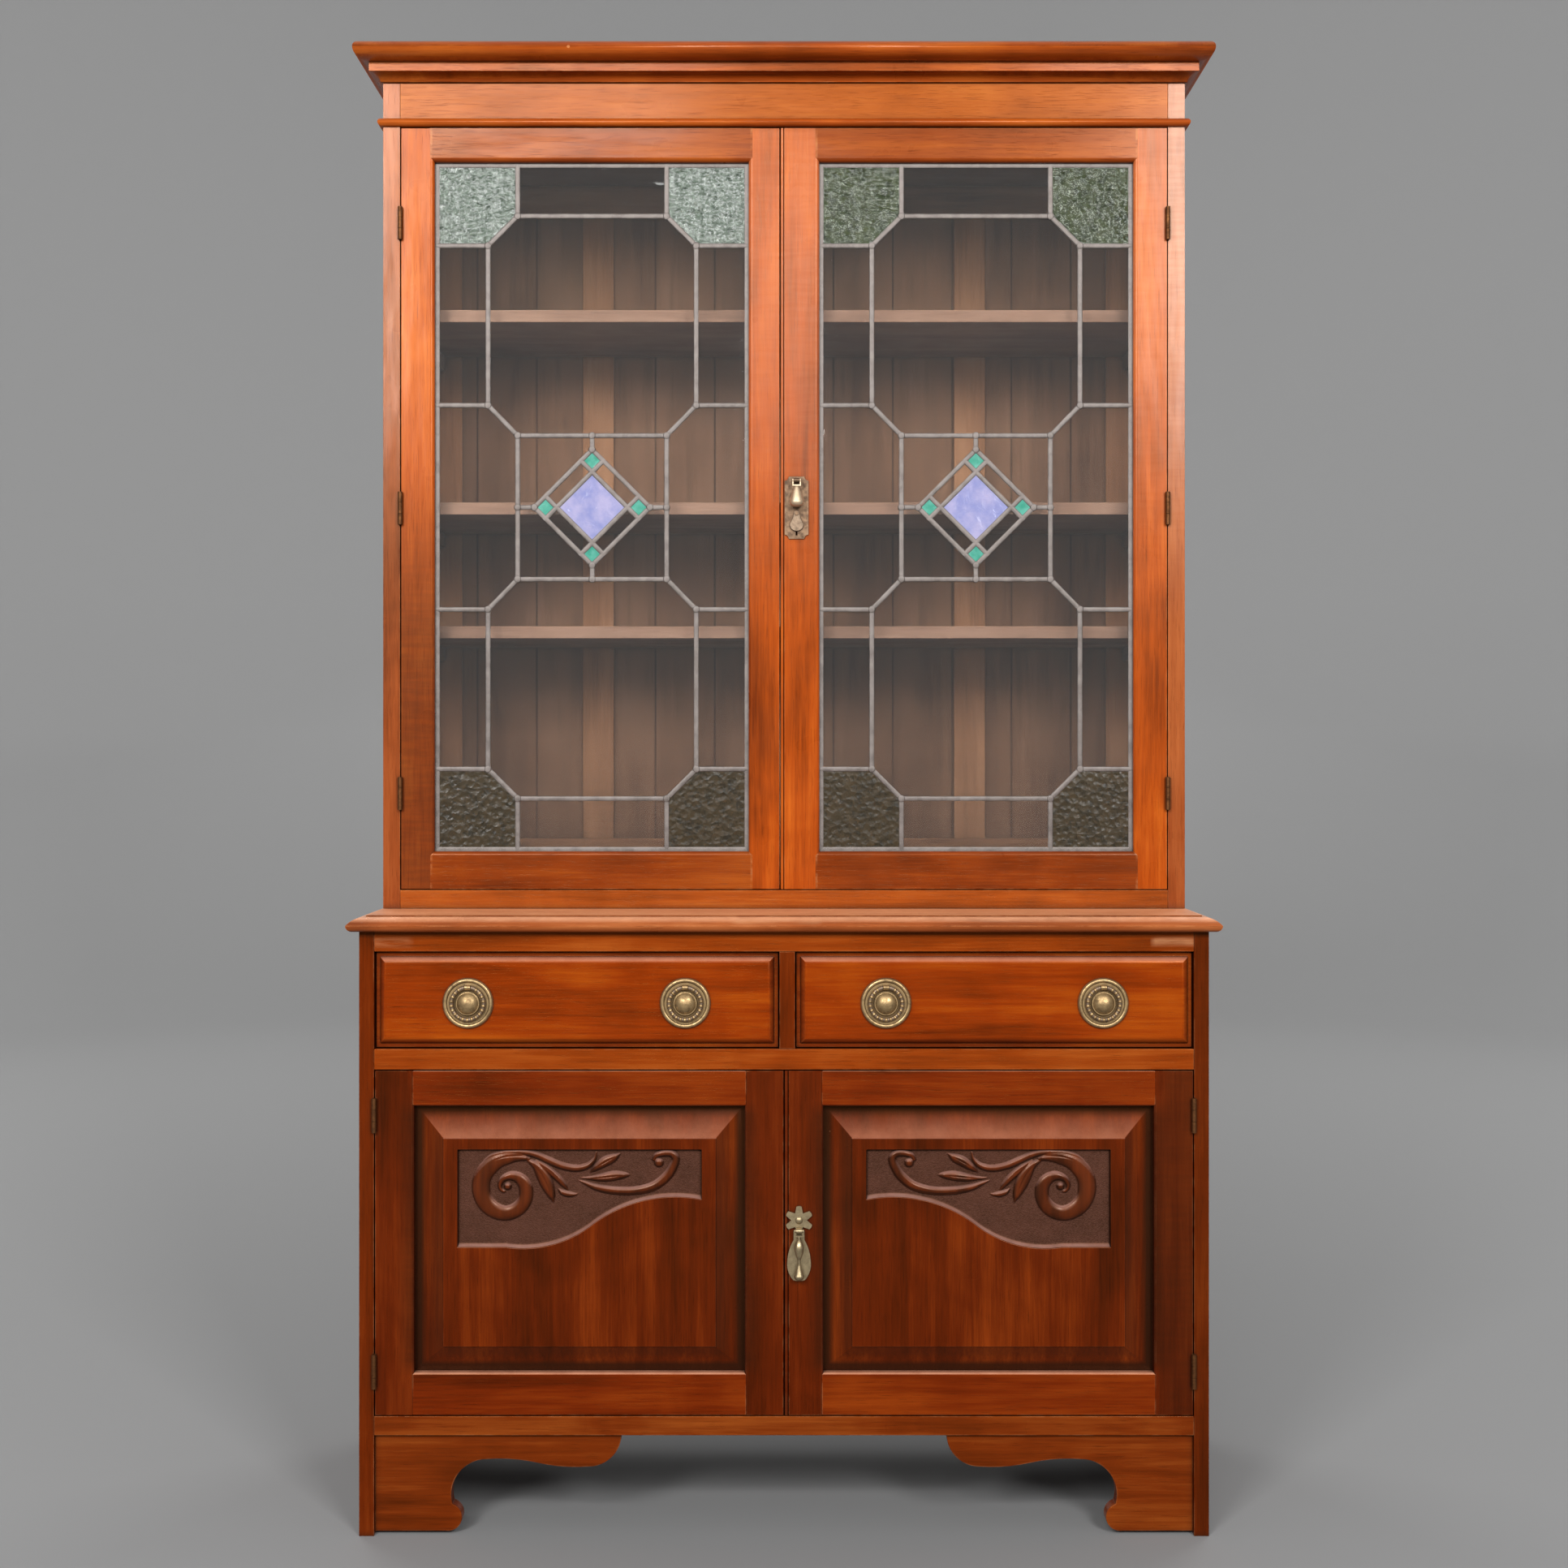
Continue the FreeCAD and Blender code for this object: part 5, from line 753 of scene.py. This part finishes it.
def volute_line():
    """The volute as points (u, v, half width), outer end first."""
    turns, radii, widths = (np.array(column, float) for column in zip(*VOLUTE))
    angle = np.arange(turns[0], turns[-1] + 1, VOLUTE_STEP)
    radius = np.interp(angle, turns, radii)
    width = np.interp(angle, turns, widths)
    for _ in range(VOLUTE_SMOOTHING):
        radius[1:-1] = (radius[:-2] + 2 * radius[1:-1] + radius[2:]) / 4
    angle = np.radians(angle)
    return np.stack([SPIRAL_CENTRE[0] + radius * np.cos(angle),
                     SPIRAL_CENTRE[1] - radius * np.sin(angle), width], axis=1)


def carving_relief(u, v):
    """Height of the whole carving over its ground."""
    lines = [volute_line()] + [smooth_line(stroke) for stroke in STROKES]
    height = np.zeros_like(u)
    for line in lines:
        other = stroke_relief(u, v, line)
        highest = np.maximum(height, other)
        meeting = np.minimum(height, other) > MEETING_HEIGHT
        height = np.where(meeting, highest - MEETING_SINK, highest)
    for ball_u, ball_v, radius in BALLS:
        away = np.hypot(u - ball_u, v - ball_v)
        ball = np.sqrt(np.maximum(radius ** 2 - away ** 2, 0)) * RELIEF / radius
        height = np.maximum(height, ball)
    for vein in VEINS:
        height -= VEIN_DEPTH * stroke_relief(u, v, smooth_line(vein)) * (height > VEIN_OVER)
    return np.maximum(height, 0)


def carving(word, material):
    """The carved sheet that lies in the recess of one lower panel."""
    low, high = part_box(f"lower_door_{word}_panel")
    columns = int(RECESS_LENGTH / STEP) + 1
    rows = int(RECESS_OUTER / STEP) + 1
    along = np.linspace(SHEET_GAP, RECESS_LENGTH - SHEET_GAP, columns)
    u, part = np.meshgrid(along, np.linspace(0, 1, rows))
    edge = recess_edge(along)
    v = SHEET_GAP + part * (edge - 2 * SHEET_GAP)[None, :]
    cove = RELIEF * np.maximum(1 - (edge[None, :] - v) / EDGE_COVE, 0) ** 1.4
    height = GROUND_LIFT + np.maximum(carving_relief(u, v), cove)
    way = 1 if word == "left" else -1
    start = low.x + RECESS_FROM_END * MM if word == "left" else high.x - RECESS_FROM_END * MM
    x = start + way * u * MM
    y = RECESS_FLOOR - height * MM
    z = high.z - (RECESS_FROM_TOP + v) * MM
    top = np.stack([x, y, z], axis=-1).reshape(-1, 3)
    bottom = top.copy()
    bottom[:, 1] = RECESS_FLOOR - SHEET_GAP * MM
    count = rows * columns
    faces = []

    def add_face(corners):
        """A face of the right-hand sheet; the left-hand one is its mirror image."""
        faces.append(corners if way < 0 else corners[::-1])

    for row in range(rows - 1):
        for column in range(columns - 1):
            a = row * columns + column
            corners = (a, a + 1, a + columns + 1, a + columns)
            add_face(corners)
            add_face(tuple(number + count for number in reversed(corners)))
    rim = list(range(columns))
    rim += [row * columns + columns - 1 for row in range(1, rows)]
    rim += [(rows - 1) * columns + column for column in range(columns - 2, -1, -1)]
    rim += [row * columns for row in range(rows - 2, 0, -1)]
    for here, there in zip(rim, rim[1:] + rim[:1]):
        add_face((here + count, there + count, there, here))
    add_mesh("carving_" + word, np.concatenate([top, bottom]), faces, material,
             "lower_door_" + word)


def carving_wood():
    """Relief with dust and a painted light on top and painted shade in its creases, over a dark
    ground that is matted with small punches.
    """
    graph = Graph("wood_carving")
    place = graph.place()
    raised = graph.spread(graph.parts(place)["Y"], RECESS_FLOOR - 0.0005, RECESS_FLOOR - 0.0018)
    streak = graph.noise(squeezed(graph, place, ALONG_Z, 0.08), 60.0, 4.0)
    cloud = graph.noise(place, 24.0, 4.0, 0.6)
    speck = graph.noise(place, 420.0, 3.0, 0.6)
    ground = graph.mix(graph.spread(cloud, 0.35, 0.65), (0.032, 0.012, 0.008),
                       (0.054, 0.02, 0.0135))
    ground = graph.mix(graph.spread(speck, 0.35, 0.7, 0.0, 0.5), ground,
                       (0.092, 0.04, 0.03))
    relief = graph.mix(graph.spread(streak, 0.3, 0.7), (0.03, 0.005, 0.001),
                       (0.1, 0.0165, 0.003))
    # Dust with painted light on the relief's upward slopes, painted shade on its lower ones
    relief = dust_and_top_light(graph, place, relief, *CARVING_DUST_AND_LIGHT)
    shade = graph.mix(raised, ground, relief)
    # Painted shade in the carving's creases, darkest where the surroundings are least open
    corner = graph.spread(graph.openness(0.01, 8), 0.25, 0.85, 0.92, 0.0)
    shade = graph.mix(corner, shade, (0.008, 0.003, 0.002))
    punches = graph.node("TexVoronoi", Vector=place, Scale=520.0)
    matting = graph.times(graph.spread(punches.outputs["Distance"], 0.15, 0.6),
                         graph.math("SUBTRACT", 1.0, raised))
    uneven = graph.math("MULTIPLY_ADD", streak, 0.15, matting)
    return graph.surface(Base_Color=shade, Roughness=graph.spread(raised, 0.0, 1.0, 0.62, 0.36),
                         Coat_Weight=graph.spread(raised, 0.0, 1.0, 0.0, 0.12), Coat_Roughness=0.2,
                         Specular_IOR_Level=0.3, Specular_Tint=VARNISH,
                         Normal=graph.bump(uneven, 0.0005, 0.8))


def sphere_points(centre, radii, segments=8, rings=5):
    """Vertices and faces of a small ellipsoid."""
    vertices = [Vector((0, 0, 1))]
    for ring in range(1, rings):
        polar = math.pi * ring / rings
        for segment in range(segments):
            turn = 2 * math.pi * segment / segments
            vertices.append(Vector((math.sin(polar) * math.cos(turn),
                                    math.sin(polar) * math.sin(turn), math.cos(polar))))
    vertices.append(Vector((0, 0, -1)))
    last = len(vertices) - 1
    faces = []
    for segment in range(segments):
        after = (segment + 1) % segments
        faces.append((0, 1 + segment, 1 + after))
        for ring in range(rings - 2):
            a = 1 + ring * segments
            faces.append((a + segment, a + segments + segment, a + segments + after, a + after))
        a = 1 + (rings - 2) * segments
        faces.append((a + after, a + segment, last))
    placed = [centre + Vector((v.x * radii[0], v.y * radii[1], v.z * radii[2])) for v in vertices]
    return placed, faces


def scattered(name, spots, material, body):
    """One piece of many small ellipsoids: each spot is a centre and its three radii."""
    vertices, faces = [], []
    for centre, radii in spots:
        points, loops = sphere_points(centre, radii)
        faces += [tuple(index + len(vertices) for index in loop) for loop in loops]
        vertices += points
    return add_mesh(name, vertices, faces, material, body)


# Ring pulls: the ring's middle line and its wire, and the beads that it carries in front
RING_RADIUS = 22.5 * MM
RING_WIRE = 3.0 * MM
RING_BEADS = 22
BEAD_RADIUS = 2.95 * MM
BEAD_DEPTH = 3.0 * MM
BEAD_FORWARD = 1.2 * MM
# Beads whose turn from the top has a cosine over this would stand in the ring's lug
LUG_REACH = 0.93


def ring_beads(word, metal):
    """Beads round the front of both rings of one drawer, except where a ring hangs."""
    for end in ("outer", "inner"):
        low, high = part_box(f"drawer_{word}_{end}_ring")
        centre = Vector(((low.x + high.x) / 2, (low.y + high.y) / 2,
                         low.z + RING_RADIUS + RING_WIRE))
        spots = []
        for number in range(RING_BEADS):
            turn = 2 * math.pi * number / RING_BEADS
            if math.cos(turn) <= LUG_REACH:
                out = Vector((math.sin(turn), 0, math.cos(turn)))
                spots.append((centre + RING_RADIUS * out - Vector((0, BEAD_FORWARD, 0)),
                              (BEAD_RADIUS, BEAD_DEPTH, BEAD_RADIUS)))
        scattered(f"ring_beads_{word}_{end}", spots, metal,
                  f"ring_{word}_{end}")


# Leaded lights. The outer lead reaches LAP under the frame and shows BORDER. SIDE, CORNER, FOOT
# and MIDDLE are how far lines lie inside the opening.
LEAD_LAP = 6.0 * MM
LEAD_BORDER = 6.0 * MM
LEAD_SIDE = 77.0 * MM
LEAD_CORNER = 120.5 * MM
LEAD_FOOT = 355.0 * MM
LEAD_MIDDLE = 399.5 * MM
LEAD_WIDTH = 7.0 * MM
LEAD_EDGE = 1.6 * MM
BORDER_CROWN = 0.92
# Half the side of the outer and the inner square that stand on a corner
DIAMOND = 60.0 * MM
INNER_DIAMOND = 36.8 * MM
SLANT = math.sqrt(0.5)
# Section of a lead from edge to edge, in shares of half its width
SECTION_SHARES = (-1, -0.92, -0.7, -0.38, 0, 0.38, 0.7, 0.92, 1)
SOLDER_RADII = (5.4 * MM, 0.55 * MM, 5.4 * MM)
SOLDER_SINK = 0.1 * MM


def light_sizes(word):
    """Middle of a leaded light, and its distances from that middle."""
    low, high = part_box(f"upper_door_{word}_leads")
    half_u = (high.x - low.x) / 2 - LEAD_LAP
    half_v = (high.z - low.z) / 2 - LEAD_LAP
    return (low + high) / 2, half_u, half_v, {
        "side": half_u - LEAD_SIDE, "corner": half_u - LEAD_CORNER, "top": half_v - LEAD_SIDE,
        "shoulder": half_v - LEAD_CORNER, "foot": half_v - LEAD_FOOT,
        "middle": half_v - LEAD_MIDDLE}


def lead_lines(half_u, half_v, at):
    """Middle lines of the leads, each from (u, v) to (u, v)."""
    side, corner, top, shoulder, foot, middle = at.values()
    lines = []
    for up in (-1, 1):
        lines += [((-corner, up * level), (corner, up * level)) for level in (top, middle)]
        for across in (-1, 1):
            run = ((corner, half_v), (corner, top), (side, shoulder), (side, foot),
                   (corner, middle))
            run = [(across * u, up * v) for u, v in run]
            lines += zip(run, run[1:])
            lines += [((across * half_u, up * level), (across * side, up * level))
                      for level in (shoulder, foot)]
    tip = DIAMOND / SLANT
    for way in (-1, 1):
        lines.append(((way * corner, -middle), (way * corner, middle)))
        lines.append(((way * tip, 0), (way * corner, 0)))
        lines.append(((0, way * tip), (0, way * middle)))
        for away in (INNER_DIAMOND, DIAMOND):
            near, far = (way * away - DIAMOND) * SLANT, (way * away + DIAMOND) * SLANT
            lines.append(((far, near), (near, far)))
            lines.append(((-far, near), (-near, far)))
    return lines


def came_section(width, crown):
    """Across and depth of a lead: flat edges and a rounded crown on both faces."""
    face = [(width / 2 * share, LEAD_EDGE + (crown - LEAD_EDGE) * math.sqrt(1 - share * share))
            for share in SECTION_SHARES]
    return [(across, -depth) for across, depth in face] + face[::-1]


def lead_cames(word, metal):
    """The leads of one door as rounded strips; they stand for the plain CAD leads."""
    node = f"upper_door_{word}_leads"
    low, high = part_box(node)
    centre, half_u, half_v, at = light_sizes(word)
    crown = (high.y - low.y) / 2
    section = came_section(LEAD_WIDTH, crown)
    border = came_section(LEAD_LAP + LEAD_BORDER, crown * BORDER_CROWN)
    edge_u = half_u + (LEAD_LAP - LEAD_BORDER) / 2
    edge_v = half_v + (LEAD_LAP - LEAD_BORDER) / 2
    bars = [(line, section, LEAD_WIDTH / 2 * 0.9) for line in lead_lines(half_u, half_v, at)]
    for way in (-1, 1):
        bars.append((((-edge_u, way * edge_v), (edge_u, way * edge_v)), border, LEAD_LAP))
        bars.append((((way * edge_u, -edge_v), (way * edge_u, edge_v)), border, LEAD_LAP))
    vertices, faces = [], []
    for (start, end), outline, reach in bars:
        start, end = Vector(start), Vector(end)
        ahead = (end - start).normalized()
        aside = Vector((-ahead.y, ahead.x))
        first = len(vertices)
        count = len(outline)
        for point in (start - ahead * reach, end + ahead * reach):
            for across, depth in outline:
                spot = point + aside * across
                vertices.append((centre.x + spot.x, centre.y + depth, centre.z + spot.y))
        near = [first + number for number in range(count)]
        far = [number + count for number in near]
        for a, b, c, d in zip(near, near[1:] + near[:1], far[1:] + far[:1], far):
            faces.append((a, b, c, d))
        faces += [tuple(reversed(near)), tuple(far)]
    piece = add_mesh("leads_" + word, vertices, faces, metal, "upper_door_" + word)
    flat = piece.modifiers.new("flat", "EDGE_SPLIT")
    flat.split_angle = math.radians(60)
    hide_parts(node)


def solder(word, metal):
    """A flat blob of solder on each joint of the leads, on both faces."""
    low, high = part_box(f"upper_door_{word}_leads")
    centre, _, _, at = light_sizes(word)
    tip = DIAMOND * math.sqrt(2)
    spots = []
    for u, v in ((tip, 0), (0, tip), (at["corner"], 0), (0, at["middle"])):
        spots += [(u, v), (-u, -v)]
    for up in (-1, 1):
        for across in (-1, 1):
            for u, v in (("corner", "top"), ("side", "shoulder"), ("side", "foot"),
                         ("corner", "middle")):
                spots.append((across * at[u], up * at[v]))
    blobs = [(Vector((centre.x + u, face_y, centre.z + v)), SOLDER_RADII)
             for face_y in (low.y + SOLDER_SINK, high.y - SOLDER_SINK) for u, v in spots]
    scattered("solder_" + word, blobs, metal, "upper_door_" + word)


# ---- stage

FLOOR_RADIUS = 7.0
BEND_RADIUS = 1.8
BEND_STEPS = 12
WALL_HEIGHT = 7.5
SHELL_SEGMENTS = 96
PAPER_NEAR = (0.208, 0.208, 0.208)
PAPER_FAR = (0.35, 0.35, 0.35)
PAPER_WALL = (0.43, 0.43, 0.43)


def studio_shell():
    """A pale floor that turns up into a round backdrop, darker near the object."""
    profile = [(0.0, 0.0), (2.0, 0.0), (4.0, 0.0)]
    for number in range(BEND_STEPS + 1):
        turn = math.radians(90 * number / BEND_STEPS)
        profile.append((FLOOR_RADIUS - BEND_RADIUS + BEND_RADIUS * math.sin(turn),
                        BEND_RADIUS - BEND_RADIUS * math.cos(turn)))
    profile.append((FLOOR_RADIUS, WALL_HEIGHT))
    turns = [2 * math.pi * number / SHELL_SEGMENTS for number in range(SHELL_SEGMENTS)]
    vertices = [(radius * math.cos(turn), radius * math.sin(turn), height)
                for radius, height in profile for turn in turns]
    faces = []
    for ring in range(len(profile) - 1):
        a, b = ring * SHELL_SEGMENTS, (ring + 1) * SHELL_SEGMENTS
        for number in range(SHELL_SEGMENTS):
            after = (number + 1) % SHELL_SEGMENTS
            faces.append((a + number, b + number, b + after, a + after))
    shell = smooth_object("studio", vertices, faces)
    graph = Graph("studio_paper")
    away = graph.vector("LENGTH", graph.vector("MULTIPLY", graph.place(), [1.0, 1.0, 0.0]))
    floor = graph.mix(graph.spread(away, 0.3, FLOOR_RADIUS - BEND_RADIUS), PAPER_NEAR, PAPER_FAR)
    rising = graph.spread(graph.parts(graph.place())["Z"], 0.0, 1.2)
    shell.data.materials.append(graph.surface(Base_Color=graph.mix(rising, floor, PAPER_WALL),
                                              Roughness=0.85, Specular_IOR_Level=0.2))


# Area lamps: name, place, the point that it faces, width, height and power in watts
LAMPS = [
    ("key", (-2.08, -4.4, 3.05), (0, 0, 1.2), 1.2, 1.5, 185),
    ("fill", (1.98, -4.4, 3.1), (0, 0, 1.2), 1.2, 1.6, 185),
    ("top", (-0.85, -4.4, 3.62), (-0.3, 0, 1.8), 1.0, 0.4, 42),
    ("middle", (0.0, -4.4, 2.75), (0, 0, 1.7), 0.2, 1.1, 14),
    ("back_left", (-3.2, 3.6, 4.0), (0, 0, 1.0), 2.5, 2.5, 90),
    ("back_right", (3.2, 3.6, 4.0), (0, 0, 1.0), 2.5, 2.5, 90),
]
WORLD_STRENGTH = 0.55


def lights():
    for name, place, aim, width, height, power in LAMPS:
        data = bpy.data.lights.new(name, "AREA")
        data.shape = "RECTANGLE"
        data.size = width
        data.size_y = height
        data.energy = power
        lamp = linked(bpy.data.objects.new(name, data))
        lamp.location = place
        lamp.rotation_euler = (Vector(aim) - Vector(place)).to_track_quat("-Z", "Y").to_euler()
    world = bpy.data.worlds.new("studio_world")
    world.use_nodes = True
    background = world.node_tree.nodes["Background"]
    background.inputs["Color"].default_value = (1, 1, 1, 1)
    background.inputs["Strength"].default_value = WORLD_STRENGTH
    bpy.context.scene.world = world


# Where the photograph was taken from, worked out from the outline of the worktop and base
CAMERA_PLACE = (0.0, -2.82, 1.094)
CAMERA_LENS_MM = 42.97
SENSOR_WIDTH_MM = 36.0
HORIZON_SHIFT = -0.01863


def camera():
    data = bpy.data.cameras.new("camera")
    data.sensor_fit = "HORIZONTAL"
    data.sensor_width = SENSOR_WIDTH_MM
    data.lens = CAMERA_LENS_MM
    data.shift_y = HORIZON_SHIFT
    eye = linked(bpy.data.objects.new("camera", data))
    eye.location = CAMERA_PLACE
    eye.rotation_euler = (math.radians(90), 0, 0)
    bpy.context.scene.camera = eye


dress_wood()
bead_brass, came_lead = dress_other()
soften_all()
carved = carving_wood()
for side_word in ("left", "right"):
    carving(side_word, carved)
    ring_beads(side_word, bead_brass)
    lead_cames(side_word, came_lead)
    solder(side_word, came_lead)
studio_shell()
lights()
camera()
bpy.context.scene.view_settings.view_transform = "Standard"
